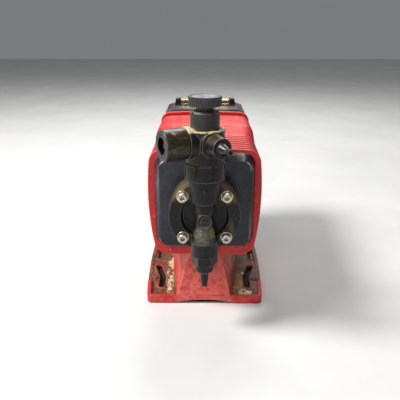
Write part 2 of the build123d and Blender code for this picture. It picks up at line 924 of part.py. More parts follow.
with BuildPart() as backing_disc:
    turned(head_plane, -backing_back_y, -diaphragm_back_y, backing_r, stub_r)

finish(backing_disc, "backing_disc")

with BuildPart() as plunger_shaft:
    turned(head_plane, -spring_back_y - shaft_hold, -backing_back_y, shaft_r)
    turned(head_plane, -backing_back_y, -diaphragm_back_y, stub_r)

finish(plunger_shaft, "plunger_shaft")

with BuildPart() as shaft_bush:
    turned(head_plane, -yoke_front_y, -cover_front_y, bush_r, shaft_r + running)

finish(shaft_bush, "shaft_bush")

with BuildPart() as armature:
    turned(head_plane, -armature_back_y, -armature_front_y, armature_r)
    drill(head_plane, -spring_back_y - shaft_hold, -spring_back_y, shaft_r)
    drill(head_plane, -spring_back_y, -armature_front_y, spring_r + spring_wire_r + free)

finish(armature, "armature")

with BuildPart() as return_spring:
    wound = spring_length - 2 * spring_wire_r
    with BuildLine() as coils:
        start = (0, coil_front_y + spring_wire_r, head_z)
        Helix(wound / spring_turns, wound, spring_r, center=start, direction=(0, 1, 0))
    with BuildSketch(Plane(origin=coils.line @ 0, x_dir=(1, 0, 0), z_dir=coils.line % 0)):
        Rectangle(2 * spring_wire_r, 2 * spring_wire_r)
    sweep(path=coils.line, is_frenet=True)

finish(return_spring, "return_spring")

with BuildPart() as coil:
    turned(head_plane, -coil_back_y, -coil_front_y, coil_r, coil_bore_r)

finish(coil, "coil")

with BuildPart() as yoke:
    with BuildSketch(facing(yoke_back_y, head_z)):
        Rectangle(2 * yoke_half, 2 * yoke_half)
    extrude(amount=yoke_length)
    with BuildSketch(facing(coil_back_y, head_z)):
        Rectangle(2 * (yoke_half - yoke_web), 2 * yoke_half)
    extrude(amount=coil_back_y - coil_front_y, mode=Mode.SUBTRACT)
    drill(head_plane, -coil_front_y, -yoke_front_y, shaft_r + free)
    drill(head_plane, -yoke_back_y, -coil_back_y, stroke_screw_r + running)

finish(yoke, "yoke")

# ---------------------------------------------------------------- suction valve
with BuildPart() as suction_nut:
    with BuildSketch(level(suction_hex_z)):
        RegularPolygon(suction_hex / 2, 6, major_radius=False)
    extrude(amount=suction_hex_height)
    trim = [
        (0, suction_hex_z),
        (suction_hex / 2, suction_hex_z),
        (suction_hex / 2 + suction_hex_edge, suction_hex_z + suction_hex_edge),
        (suction_hex / 2 + suction_hex_edge, lower_boss_z),
        (0, lower_boss_z),
    ]
    lathe(valve_plane, trim, Mode.INTERSECT)
    snout = [
        (0, suction_cone_z),
        (suction_cone_r, suction_cone_z),
        (suction_collar_r, suction_collar_z),
        (suction_collar_r, suction_hex_z),
        (0, suction_hex_z),
    ]
    lathe(valve_plane, snout)
    turned(valve_plane, lower_boss_z, suction_spigot_z, spigot_r)
    drill(valve_plane, tail_flange_z, suction_spigot_z, guide_r + slip)
    drill(valve_plane, suction_cone_z, tail_flange_z, tail_shank_r + slip)

finish(suction_nut, "suction_nut")

with BuildPart() as suction_hose_tail:
    tail = [
        (tail_bore_r, tail_tip_z),
        (tail_tip_r, tail_tip_z),
        (tail_root_r, tail_straight_z),
        (tail_r, tail_straight_z),
        (tail_r, suction_cone_z),
        (tail_shank_r, suction_cone_z),
        (tail_shank_r, tail_flange_z),
        (guide_r, tail_flange_z),
        (guide_r, suction_gasket_z),
        (tail_bore_r, suction_gasket_z),
    ]
    lathe(valve_plane, tail)

finish(suction_hose_tail, "suction_hose_tail")

with BuildPart() as suction_gasket:
    turned(valve_plane, suction_gasket_z, suction_seat_z, guide_r, seat_bore_r)

finish(suction_gasket, "suction_gasket")

with BuildPart() as suction_seat:
    turned(valve_plane, suction_seat_z, suction_guide_z, guide_r, seat_bore_r)

finish(suction_seat, "suction_seat")

with BuildPart() as suction_ball:
    with Locations((0, valve_y, suction_guide_z + ball_rise)):
        Sphere(ball_r)

finish(suction_ball, "suction_ball")

with BuildPart() as suction_guide:
    ball_guide(suction_guide_z)

finish(suction_guide, "suction_guide")

# ---------------------------------------------------------------- discharge valve and union nut
with BuildPart() as discharge_seat:
    turned(valve_plane, discharge_seat_z, discharge_guide_z, guide_r, seat_bore_r)

finish(discharge_seat, "discharge_seat")

with BuildPart() as discharge_ball:
    with Locations((0, valve_y, discharge_guide_z + ball_rise)):
        Sphere(ball_r)

finish(discharge_ball, "discharge_ball")

with BuildPart() as discharge_guide:
    ball_guide(discharge_guide_z)

finish(discharge_guide, "discharge_guide")

with BuildPart() as union_nut:
    turned(valve_plane, union_low_z, union_top_z, union_r, body_neck_r + slip)
    chamfer(edges().filter_by(GeomType.CIRCLE).sort_by(SortBy.RADIUS)[-2:], union_edge)
    drill(valve_plane, union_low_z, union_top_z - union_lip, upper_thread_r + slip)
    with BuildSketch(level(union_low_z + union_slot_stop)):
        with PolarLocations(union_r, union_slots, start_angle=union_phase):
            Rectangle(2 * union_slot_depth, union_slot_width)
    extrude(amount=union_height, mode=Mode.SUBTRACT)

finish(union_nut, "union_nut")

# ---------------------------------------------------------------- valve body and its ports
with BuildPart() as valve_body:
    turned(valve_plane, boss_top_z, union_top_z - union_lip, upper_thread_r)
    turned(valve_plane, union_top_z - union_lip, union_top_z, body_neck_r)
    turned(valve_plane, body_low_z, body_top_z, body_r)
    turned(outlet_plane, 0, outlet_flange_end, outlet_flange_r)
    turned(outlet_plane, outlet_flange_end, outlet_thread_end, outlet_thread_r)
    turned(bleed_plane, 0, bleed_flange_end, bleed_flange_r)
    turned(bleed_plane, bleed_flange_end, bleed_thread_end, bleed_thread_r)
    drill(valve_plane, body_top_z, bonnet_top_z, bonnet_r + free)
    drill(valve_plane, body_socket_z, body_top_z, bonnet_spigot_r + slip)
    drill(valve_plane, boss_top_z, body_socket_z, riser_r)
    drill(outlet_plane, 0, outlet_thread_end, outlet_tail_r)
    drill(bleed_plane, bleed_well, bleed_thread_end, bleed_bore_r)
    with BuildSketch(level(port_z)):
        with Locations(bleed_dir * (bleed_well + bleed_bore_r)):
            Circle(bleed_bore_r)
    extrude(amount=body_socket_z - port_z, mode=Mode.SUBTRACT)

finish(valve_body, "valve_body")

with BuildPart() as outlet_nut:
    turned(outlet_plane, outlet_flange_end, outlet_nut_end, outlet_nut_r, outlet_mouth_r)
    chamfer(edges().filter_by(GeomType.CIRCLE).sort_by(SortBy.RADIUS)[-2:], outlet_nut_edge)
    drill(outlet_plane, outlet_flange_end, outlet_mouth, outlet_thread_r + slip)

finish(outlet_nut, "outlet_nut")

with BuildPart() as outlet_hose_tail:
    turned(outlet_plane, outlet_thread_end, outlet_mouth, outlet_thread_r, outlet_tail_bore_r)
    turned(outlet_plane, outlet_mouth, outlet_mouth + outlet_tail_length, outlet_tail_r, outlet_tail_bore_r)

finish(outlet_hose_tail, "outlet_hose_tail")

with BuildPart() as bleed_nut:
    shell = [
        (bleed_thread_r + slip, bleed_flange_end),
        (bleed_nut_r, bleed_flange_end),
        (bleed_nut_front_r, bleed_nut_end),
        (bleed_recess_r, bleed_nut_end),
        (bleed_recess_r, bleed_nozzle_start + bleed_lip),
        (bleed_neck_r + slip, bleed_nozzle_start + bleed_lip),
        (bleed_neck_r + slip, bleed_nozzle_start),
        (bleed_thread_r + slip, bleed_nozzle_start),
    ]
    lathe(bleed_plane, shell)

finish(bleed_nut, "bleed_nut")

with BuildPart() as bleed_nozzle:
    nozzle = [
        (bleed_bore_r, bleed_thread_end),
        (bleed_thread_r, bleed_thread_end),
        (bleed_thread_r, bleed_nozzle_start),
        (bleed_neck_r, bleed_nozzle_start),
        (bleed_neck_r, bleed_nozzle_start + bleed_cone_start),
        (bleed_tip_r, bleed_nozzle_start + bleed_cone_end),
        (bleed_tip_r, bleed_nozzle_start + bleed_length),
        (bleed_bore_r, bleed_nozzle_start + bleed_length),
    ]
    lathe(bleed_plane, nozzle)

finish(bleed_nozzle, "bleed_nozzle")

# ---------------------------------------------------------------- vent screw
with BuildPart() as vent_bonnet:
    turned(valve_plane, body_top_z, bonnet_top_z, bonnet_r)
    chamfer(edges().group_by(Axis.Z)[-1], bonnet_chamfer)
    turned(valve_plane, body_socket_z, body_top_z, bonnet_spigot_r)
    drill(valve_plane, body_socket_z, bonnet_top_z, spindle_r + running)
    drill(valve_plane, body_socket_z, body_socket_z + bonnet_room, bonnet_room_r)
    drill(valve_plane, ring_z - ring_section_r, bonnet_top_z, ring_r + ring_section_r + slip)
    with BuildSketch(level(bonnet_top_z)):
        with PolarLocations(bonnet_r, bonnet_notches, start_angle=bonnet_notch_phase):
            Rectangle(bonnet_notch, bonnet_notch)
    extrude(amount=-bonnet_notch_length, mode=Mode.SUBTRACT)

finish(vent_bonnet, "vent_bonnet")

with BuildPart() as vent_spindle:
    turned(valve_plane, body_socket_z + slip, spindle_top_z, spindle_r)

finish(vent_spindle, "vent_spindle")

with BuildPart() as spindle_ring:
    turned(valve_plane, ring_z - ring_section_r, bonnet_top_z, ring_r + ring_section_r, ring_r - ring_section_r)

finish(spindle_ring, "spindle_ring")

with BuildPart() as vent_knob:
    turned(valve_plane, bonnet_top_z + free, knob_low_z, knob_neck_r)
    grip = ribbed_round(level(knob_low_z), knob_r, knob_rib_depth, knob_rib_width, knob_ribs)
    extrude(grip, amount=knob_height)
    drill(valve_plane, cap_low_z, knob_top_z, cap_r + slip)
    drill(valve_plane, bonnet_top_z + free, spindle_top_z + slip, spindle_r + running)

finish(vent_knob, "vent_knob")

with BuildPart() as knob_cap:
    turned(valve_plane, cap_low_z, cap_low_z + cap_thickness, cap_r)

finish(knob_cap, "knob_cap")

# ---------------------------------------------------------------- control unit
with BuildPart() as control_gasket:
    extrude(control_outline(gasket_back_y, gasket_inset), amount=gasket_thickness)
    extrude(control_outline(gasket_back_y, rear_opening_inset), amount=gasket_thickness, mode=Mode.SUBTRACT)
    gasket_bores = closing_circles(gasket_back_y, closing_screw_r + slip)
    extrude(gasket_bores, amount=gasket_thickness, mode=Mode.SUBTRACT)

finish(control_gasket, "control_gasket")

with BuildPart() as control_housing:
    extrude(control_outline(control_back_y, 0), amount=control_length)
    room = control_outline(control_inner_y, control_wall)
    extrude(room, amount=control_inner_y - gasket_back_y, mode=Mode.SUBTRACT)
    extrude(closing_circles(control_back_y, closing_post_r), amount=control_length)
    extrude(closing_circles(control_back_y, closing_screw_r + slip), amount=control_length, mode=Mode.SUBTRACT)
    sunk_heads = closing_circles(control_back_y, closing_screw_head_r + slip)
    extrude(sunk_heads, amount=closing_screw_head, mode=Mode.SUBTRACT)
    with BuildSketch(facing(control_inner_y, (board_low_z + board_high_z) / 2)):
        with GridLocations(2 * board_half - 2 * post_edge, board_high_z - board_low_z - 2 * post_edge, 2, 2):
            Circle(post_r)
    extrude(amount=board_gap)
    extrude(panel_outline(control_back_y, slip), amount=panel_thickness, mode=Mode.SUBTRACT)
    extrude(window_outline(panel_front_y, window_ledge), amount=control_back_wall, mode=Mode.SUBTRACT)
    with BuildSketch(facing(panel_front_y, key_z)):
        Rectangle((key_count - 1) * key_pitch + 2 * key_room, 2 * key_room)
    extrude(amount=control_back_wall, mode=Mode.SUBTRACT)
    extrude(lamp_circles(panel_front_y, lamp_r + slip), amount=control_back_wall, mode=Mode.SUBTRACT)
    drill(head_plane, -control_back_y, -control_inner_y, stroke_screw_r + running)
    with BuildSketch(facing(control_back_y, socket_z)):
        with GridLocations(2 * socket_x, 2 * socket_x, 2, 1):
            Circle(socket_neck_r + slip)
        Circle(gland_neck_r + slip)
    extrude(amount=control_back_wall, mode=Mode.SUBTRACT)

finish(control_housing, "control_housing")

with BuildPart() as closing_screws:
    head_seat_y = control_back_y - closing_screw_head
    screw_end_y = housing_back_y - closing_screw_hold + free
    extrude(closing_circles(control_back_y, closing_screw_head_r), amount=closing_screw_head)
    extrude(closing_circles(head_seat_y, closing_screw_r), amount=head_seat_y - screw_end_y)

finish(closing_screws, "closing_screws")

with BuildPart() as control_panel:
    extrude(panel_outline(control_back_y, 0), amount=panel_thickness)
    extrude(window_outline(control_back_y, -slip), amount=window_thickness, mode=Mode.SUBTRACT)
    extrude(window_outline(control_back_y, window_ledge), amount=panel_thickness, mode=Mode.SUBTRACT)
    extrude(key_circles(control_back_y, key_r + free), amount=panel_thickness, mode=Mode.SUBTRACT)
    extrude(lamp_circles(control_back_y, lamp_r + slip), amount=panel_thickness, mode=Mode.SUBTRACT)
    drill(head_plane, -control_back_y, -panel_front_y, stroke_screw_r + free)

finish(control_panel, "control_panel")

with BuildPart() as display_window:
    extrude(window_outline(control_back_y, 0), amount=window_thickness)

finish(display_window, "display_window")

with BuildPart() as status_lamps:
    extrude(lamp_circles(control_back_y + lamp_out, lamp_r), amount=lamp_length)
    chamfer(edges().group_by(Axis.Y)[-1], lamp_out)

finish(status_lamps, "status_lamps")

key_top_y = control_back_y + key_out
key_flange_y = panel_front_y - slip
for index in range(key_count):
    key_x = (index - (key_count - 1) / 2) * key_pitch
    with BuildPart() as key:
        with BuildSketch(facing(key_top_y, key_z)):
            with Locations((key_x, 0)):
                Circle(key_r)
        extrude(amount=key_top_y - key_flange_y)
        chamfer(edges().group_by(Axis.Y)[-1], key_edge)
        with BuildSketch(facing(key_flange_y, key_z)):
            with Locations((key_x, 0)):
                Circle(key_r + key_flange)
        extrude(amount=key_flange_thickness)
    finish(key, f"key_{index + 1}")

with BuildPart() as circuit_board:
    with BuildSketch(facing(board_back_y, (board_low_z + board_high_z) / 2)):
        Rectangle(2 * board_half, board_high_z - board_low_z)
    extrude(amount=board_thickness)
    drill(head_plane, -board_back_y, -board_front_y, stroke_screw_r + free)
    switch_top_y = key_flange_y - key_flange_thickness - key_travel - free
    extrude(key_circles(switch_top_y, switch_r), amount=switch_top_y - board_back_y)
    extrude(window_outline(control_inner_y, window_ledge + slip), amount=board_gap)
    with BuildSketch(facing(board_front_y, component_z)):
        with GridLocations(component_pitch, component_pitch, 2, 1):
            Rectangle(component_size, component_size)
    extrude(amount=component_height)

finish(circuit_board, "circuit_board")

with BuildPart() as stroke_dial:
    grip = ribbed_round(facing(dial_back_y, head_z), dial_r, dial_rib_depth, dial_rib_width, dial_ribs)
    extrude(grip, amount=dial_height)
    drill(head_plane, -dial_back_y + dial_end, -dial_front_y, stroke_screw_r)
    with BuildSketch(facing(dial_back_y, head_z)):
        with Locations((0, dial_r / 2)):
            Rectangle(dial_mark, dial_r)
    extrude(amount=dial_mark, mode=Mode.SUBTRACT)

finish(stroke_dial, "stroke_dial")

with BuildPart() as stroke_screw:
    turned(head_plane, -dial_back_y + dial_end, -armature_back_y - free, stroke_screw_r)

finish(stroke_screw, "stroke_screw")

# ---------------------------------------------------------------- sockets and cable gland
with BuildPart() as signal_sockets:
    for side in (-1, 1):
        socket_plane = Plane(origin=(side * socket_x, control_back_y, socket_z), x_dir=(1, 0, 0), z_dir=(0, 0, 1))
        turned(socket_plane, -control_back_wall, 0, socket_neck_r)
        turned(socket_plane, 0, socket_out, socket_r)
        drill(socket_plane, socket_floor, socket_out, socket_bore_r)
        with BuildSketch(facing(control_back_y + socket_floor, socket_z)):
            with Locations((side * socket_x, 0)):
                with PolarLocations(socket_pin_offset, 4):
                    Circle(socket_pin_r)
        extrude(amount=-socket_pin_out)

finish(signal_sockets, "signal_sockets")

with BuildPart() as socket_caps:
    cap_end = socket_out + slip
    for side in (-1, 1):
        socket_plane = Plane(origin=(side * socket_x, control_back_y, socket_z), x_dir=(1, 0, 0), z_dir=(0, 0, 1))
        cap_shell_r = socket_r + slip + socket_cap_wall
        turned(socket_plane, cap_end + socket_cap_wall - socket_cap_length, cap_end + socket_cap_wall, cap_shell_r)
        drill(socket_plane, cap_end + socket_cap_wall - socket_cap_length, cap_end, socket_r + slip)

finish(socket_caps, "socket_caps")

gland_plane = Plane(origin=(0, control_back_y, socket_z), x_dir=(1, 0, 0), z_dir=(0, 0, 1))
gland_thread_end = gland_body + gland_thread_length
with BuildPart() as cable_gland:
    with BuildSketch(facing(control_back_y, socket_z)):
        RegularPolygon(gland_r, 6, major_radius=False)
    extrude(amount=-gland_body)
    turned(gland_plane, -control_back_wall, 0, gland_neck_r)
    turned(gland_plane, gland_body, gland_thread_end, gland_thread_r)
    drill(gland_plane, -control_back_wall, gland_thread_end, gland_bore_r)

finish(cable_gland, "cable_gland")

with BuildPart() as gland_seal:
    turned(gland_plane, gland_body, gland_thread_end, gland_bore_r, gland_seal_bore_r)

finish(gland_seal, "gland_seal")

with BuildPart() as gland_nut:
    turned(gland_plane, gland_body + slip, gland_body + gland_nut_length, gland_r, gland_mouth_r)
    drill(gland_plane, gland_body + slip, gland_thread_end, gland_thread_r + slip)
    chamfer(edges().group_by(Axis.Y)[-1].sort_by(SortBy.RADIUS)[-1], gland_edge)

finish(gland_nut, "gland_nut")

# ---------------------------------------------------------------- hinged clear cover
rail_top_z = control_top_z + rail_height
with BuildPart() as hinge_rail:
    with BuildSketch(Plane.XY.offset(control_top_z)):
        with Locations((0, hinge_y)):
            Rectangle(2 * block_outer_x, 2 * rail_half_depth)
    extrude(amount=rail_height)

finish(hinge_rail, "hinge_rail")

hinge_plane = Plane(origin=(0, hinge_y, hinge_z), x_dir=(0, 0, 1), z_dir=(0, 1, 0))
with BuildPart() as hinge_blocks:
    with BuildSketch(facing(hinge_y + block_half_depth, rail_top_z)):
        for side in (-1, 1):
            with BuildLine():
                Polyline(
                    (side * block_inner_x, 0),
                    (side * block_outer_x, 0),
                    (side * (block_outer_x - block_slant), block_height),
                    (side * block_inner_x, block_height),
                    close=True,
                )
            make_face()
    extrude(amount=2 * block_half_depth)
    drill(hinge_plane, -pin_half, pin_half, hinge_pin_r)

finish(hinge_blocks, "hinge_blocks")

with BuildPart() as hinge_pin:
    turned(hinge_plane, -pin_half, pin_half, hinge_pin_r)

finish(hinge_pin, "hinge_pin")

with BuildPart() as panel_cover:
    barrel_half = block_inner_x - free
    lid_outer_y = lid_inner_y + lid_wall
    turned(hinge_plane, -barrel_half, barrel_half, hinge_barrel_r)
    with BuildSketch(Plane.XY.offset(lid_under_z)):
        with Locations((0, hinge_y)):
            Rectangle(2 * barrel_half, lid_outer_y - hinge_y, align=(Align.CENTER, Align.MIN))
        with Locations((0, hinge_y + lid_reach)):
            Rectangle(2 * lid_half, lid_outer_y - hinge_y - lid_reach, align=(Align.CENTER, Align.MIN))
    extrude(amount=lid_wall)
    with BuildSketch(facing(lid_outer_y, lid_low_z)):
        Rectangle(2 * lid_half, lid_under_z + lid_wall - lid_low_z, align=(Align.CENTER, Align.MIN))
    extrude(amount=lid_wall)
    drill(hinge_plane, -barrel_half, barrel_half, hinge_pin_r + running)

finish(panel_cover, "panel_cover")
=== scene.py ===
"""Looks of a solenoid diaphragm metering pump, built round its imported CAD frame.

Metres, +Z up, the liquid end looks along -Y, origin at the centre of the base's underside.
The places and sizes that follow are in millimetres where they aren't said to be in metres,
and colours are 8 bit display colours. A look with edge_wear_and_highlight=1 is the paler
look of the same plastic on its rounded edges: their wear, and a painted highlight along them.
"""
import json
from math import cos, pi, radians, sin
from random import Random

import bmesh
import bpy
from mathutils import Matrix, Vector, noise
from mathutils.bvhtree import BVHTree
from mathutils.kdtree import KDTree


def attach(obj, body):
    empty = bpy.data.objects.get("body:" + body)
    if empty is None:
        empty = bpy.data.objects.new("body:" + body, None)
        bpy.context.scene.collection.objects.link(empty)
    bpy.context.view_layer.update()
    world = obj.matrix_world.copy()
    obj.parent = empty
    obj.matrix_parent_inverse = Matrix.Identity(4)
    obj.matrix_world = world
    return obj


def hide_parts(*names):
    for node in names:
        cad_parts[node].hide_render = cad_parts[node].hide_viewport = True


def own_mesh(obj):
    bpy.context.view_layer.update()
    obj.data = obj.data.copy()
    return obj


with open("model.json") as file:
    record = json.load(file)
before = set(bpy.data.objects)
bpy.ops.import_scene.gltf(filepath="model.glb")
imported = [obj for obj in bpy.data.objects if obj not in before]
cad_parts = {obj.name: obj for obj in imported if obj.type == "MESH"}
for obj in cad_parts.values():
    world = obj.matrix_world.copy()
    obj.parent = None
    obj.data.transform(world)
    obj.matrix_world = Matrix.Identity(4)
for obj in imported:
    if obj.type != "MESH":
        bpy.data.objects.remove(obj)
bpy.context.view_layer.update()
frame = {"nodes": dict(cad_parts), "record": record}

MM = 0.001
X, Y, Z = range(3)


# ---------------------------------------------------------------- colours and node materials
KHAKI = (150, 132, 92)
CREAM = (226, 214, 178)
ASH = (150, 146, 136)
DRIED_BROWN = (96, 84, 66)


def srgb(color):
    """Linear colour of an 8 bit display colour."""
    def linear(value):
        value /= 255
        return value / 12.92 if value <= 0.04045 else ((value + 0.055) / 1.055) ** 2.4
    return (*map(linear, color), 1.0)


def paler(color, lift):
    """The same colour with all three of its parts raised."""
    return tuple(value + lift for value in color)


class Surface:
    """A node material under construction, in the rest frame's own coordinates."""

    def __init__(self, name):
        self.material = bpy.data.materials.new(name)
        self.material.use_nodes = True
        self.tree = self.material.node_tree
        self.shader = self.tree.nodes["Principled BSDF"]
        rest = self.add("ShaderNodeTexCoord")
        self.where = rest.outputs["Object"]
        self.normal = rest.outputs["Normal"]
        self.color = None

    def add(self, kind, **sockets):
        """A new node with some of its inputs set or linked."""
        node = self.tree.nodes.new(kind)
        for key, value in sockets.items():
            self.feed(node, key, value)
        return node

    def feed(self, node, key, value):
        """Set or link one input: its name with _ for spaces, or its number after an i."""
        number = key[1:]
        socket = node.inputs[int(number) if number.isdigit() else key.replace("_", " ")]
        if isinstance(value, bpy.types.NodeSocket):
            self.tree.links.new(value, socket)
        else:
            socket.default_value = value

    def vector(self, operation, first, second=(0, 0, 0)):
        node = self.add("ShaderNodeVectorMath", i0=first, i1=second)
        node.operation = operation
        measured = operation in ("LENGTH", "DISTANCE", "DOT_PRODUCT")
        return node.outputs["Value" if measured else "Vector"]

    def math(self, operation, first, second=0.0, clamp=True):
        node = self.add("ShaderNodeMath", i0=first, i1=second)
        node.operation = operation
        node.use_clamp = clamp
        return node.outputs[0]

    def both(self, *masks):
        """Product of masks and amounts."""
        result = masks[0]
        for mask in masks[1:]:
            result = self.math("MULTIPLY", result, mask)
        return result

    def window(self, value, low, high):
        """Value stretched so that low becomes 0 and high becomes 1, clamped between."""
        return self.add("ShaderNodeMapRange", Value=value, From_Min=low, From_Max=high).outputs[0]

    def noise(self, scale, detail=3.0, roughness=0.55, stretch=(1, 1, 1), warp=0.0):
        """Grey noise, scale in features per metre, stretched along the axes."""
        where = self.vector("MULTIPLY", self.where, stretch)
        node = self.add("ShaderNodeTexNoise", Vector=where, Scale=scale, Detail=detail,
                        Roughness=roughness, Distortion=warp)
        return node.outputs["Fac"]

    def patches(self, low, high, *grain, **more):
        """Patches of noise, which start at its level low and are full at high."""
        return self.window(self.noise(*grain, **more), low, high)

    def dots(self, scale, size, share, stretch=(1, 1, 1)):
        """Sparse round specks: scale in cells per metre, size in cells, share of the cells used."""
        where = self.vector("MULTIPLY", self.where, stretch)
        node = self.add("ShaderNodeTexVoronoi", Vector=where, Scale=scale)
        near = self.window(node.outputs["Distance"], size, size * 0.6)
        pick = self.add("ShaderNodeSeparateColor", Color=node.outputs["Color"]).outputs[0]
        return self.both(near, self.window(pick, 1 - share, 1 - share + 0.01))

    def scratches(self, scale, stretch, share, breaks=70):
        """Thin lines along the least stretched axis; breaks is the scale of their gaps."""
        level = self.math("SUBTRACT", self.noise(scale, 2, 0.5, stretch, 0.4), 0.5, False)
        thin = self.window(self.math("ABSOLUTE", level), 0.012, 0.0)
        return self.both(thin, self.patches(0.62 - share, 0.72 - share, breaks, 3))

    def part(self, vector, axis):
        return self.add("ShaderNodeSeparateXYZ", Vector=vector).outputs[axis]

    def facing(self, axis):
        """How far the surface looks along one axis of the rest frame, from -1 to 1."""
        return self.part(self.normal, axis)

    def toward(self, direction):
        """How far the surface looks along a direction of the rest frame, from -1 to 1."""
        return self.vector("DOT_PRODUCT", self.normal, direction)

    def along(self, axis):
        """Coordinate along one axis of the rest frame, in metres."""
        return self.part(self.where, axis)

    def offset(self, origin):
        """Place relative to a point, in metres."""
        return self.vector("SUBTRACT", self.where, [value * MM for value in origin])

    def off_axis(self, origin, direction):
        """Distance from a line through a point, in metres."""
        offset = self.offset(origin)
        return self.vector("DISTANCE", offset, self.vector("PROJECT", offset, direction))

    def band(self, axis, low, high, soft):
        """1 between two coordinates, with soft edges."""
        value = self.along(axis)
        rise = self.window(value, (low - soft) * MM, (low + soft) * MM)
        return self.both(rise, self.window(value, (high + soft) * MM, (high - soft) * MM))

    def spot(self, centre, radii, ragged, scale):
        """Patch round a centre, with an edge made ragged by noise."""
        scaled = self.vector("DIVIDE", self.offset(centre), [radius * MM for radius in radii])
        level = self.math("SUBTRACT", self.noise(scale, 4, 0.65), 0.5, False)
        wobble = self.math("MULTIPLY", level, ragged * 3, False)
        reach = self.math("ADD", self.vector("LENGTH", scaled), wobble, False)
        return self.window(reach, 1.0, 0.55)

    def hollow(self, reach, shut=0.25):
        """1 in corners and recesses within reach, 0 on open surface; shut is how closed is full."""
        node = self.add("ShaderNodeAmbientOcclusion", Distance=reach * MM)
        node.samples = 6
        return self.window(node.outputs["AO"], 0.85, shut)

    def blend(self, amount, first, second):
        """Mix of two linear colours; a colour mix has its factor and colours at 0, 6 and 7."""
        node = self.add("ShaderNodeMix")
        node.data_type = "RGBA"
        for index, value in ((0, amount), (6, first), (7, second)):
            self.feed(node, f"i{index}", value)
        return node.outputs[2]

    def ground(self, amount, first, second):
        """Start from a mix of two colours."""
        self.color = self.blend(amount, srgb(first), srgb(second))

    def paint(self, amount, color):
        """Lay one more colour over what is there."""
        self.color = self.blend(amount, self.color, srgb(color))

    def bump(self, height, strength, distance):
        node = self.add("ShaderNodeBump", Height=height, Strength=strength, Distance=distance)
        return node.outputs[0]

    def finish(self, roughness, normal=None, metallic=0.0, **more):
        """Set the shader; more are its other sockets, each with one number."""
        more.update(Base_Color=self.color, Roughness=roughness, Metallic=metallic)
        if normal is not None:
            more["Normal"] = normal
        for key, value in more.items():
            self.feed(self.shader, key, value)
        return self.material


# ---------------------------------------------------------------- what the looks are made of
def plastic(name, tones, scuffs=0.25):
    """Moulded plastic to paint on: slow drift of two tones, pale mottling and fine scratches."""
    deep, middle, pale = tones
    s = Surface(name)
    s.ground(s.patches(0.32, 0.68, 38, 4, 0.6), deep, middle)
    s.paint(s.both(s.patches(0.5, 0.85, 310, 4, 0.7), 0.5), pale)
    s.paint(s.both(s.scratches(260, (1, 0.12, 0.5), 0.16), scuffs), pale)
    s.paint(s.both(s.scratches(200, (0.2, 1, 0.16), 0.1, 90), scuffs), pale)
    return s


def dusted(s, dust, top, corners, reach=4.0, scale=90):
    """Dust on what looks up, and dirt that gathers in corners."""
    upward = s.window(s.facing(Z), 0.25, 0.95)
    s.paint(s.both(upward, s.patches(0.36, 0.66, scale, 5, 0.7), top), dust)
    s.paint(s.both(s.hollow(reach), s.patches(0.25, 0.6, scale * 2, 4, 0.7), corners), dust)
    return s


def closed(s, roughness, grain=0.15, scale=1500, spread=0.3, **more):
    """Uneven gloss and a fine moulded grain finish the surface."""
    uneven = s.both(s.patches(0.25, 0.75, 140, 4, 0.65), spread)
    rough = s.math("ADD", uneven, roughness - spread / 2)
    pits = s.math("ADD", s.noise(scale, 3, 0.6), s.both(s.noise(scale / 6, 3), 0.8), False)
    return s.finish(rough, s.bump(pits, grain, 0.0003), **more)


def plain(name, tones, roughness, dust=ASH, top=0.4, corners=0.4, grain=0.15):
    return closed(dusted(plastic(name, tones), dust, top, corners), roughness, grain)


def black_parts(name, lift=0, dust=KHAKI, top=0.3, corners=0.25, scuffs=0.3):
    """Dark PVC and nylon fittings; lift makes them paler, and the edge looks use it for worn edges
    with a painted highlight.
    """
    tones = [(grey + lift, grey + lift * 0.97, grey + lift * 0.93) for grey in (11, 20, 46)]
    return dusted(plastic(name, tones, scuffs), dust, top, corners, 3.0, 130)


def red_parts(name, edge_wear_and_highlight=0.0):
    """Red polypropylene, paler and pinker on its edge looks, for wear and a painted highlight."""
    deep = (172 + 30 * edge_wear_and_highlight, 30 + 46 * edge_wear_and_highlight, 28 + 42 * edge_wear_and_highlight)
    middle = (198 + 24 * edge_wear_and_highlight, 40 + 48 * edge_wear_and_highlight, 36 + 42 * edge_wear_and_highlight)
    s = plastic(name, (deep, middle, (222, 100, 86)), 0.15)
    s.paint(s.both(s.dots(190, 0.16, 0.02), 0.85), (232, 224, 208))
    return s


def metal(name, tint, dark, roughness, stretch=(1, 1, 1)):
    """Bright machined metal with fine turning lines, and painted shade tinted as brown tarnish in
    the corners.
    """
    s = Surface(name)
    s.ground(s.patches(0.45, 0.8, 300, 4, 0.6), tint, dark)
    # painted shade: dark brown, as tarnish, in corners and sockets
    s.paint(s.both(s.hollow(2.0), 0.85), (58, 46, 32))
    lines = s.noise(2600, 2, 0.5, stretch)
    rough = s.math("ADD", s.both(lines, 0.25), roughness)
    return s.finish(rough, s.bump(lines, 0.12, 0.0001), metallic=1.0)


# ---------------------------------------------------------------- looks of the housing and base
HOUSING_FRONT = -82
HOUSING_NICKS = (  # x, z, radius
    (-41.3, 81.6, 0.9), (-41, 66.2, 0.7), (-28.8, 51.3, 0.9), (17, 49.4, 0.6), (-43, 118, 0.6),
)


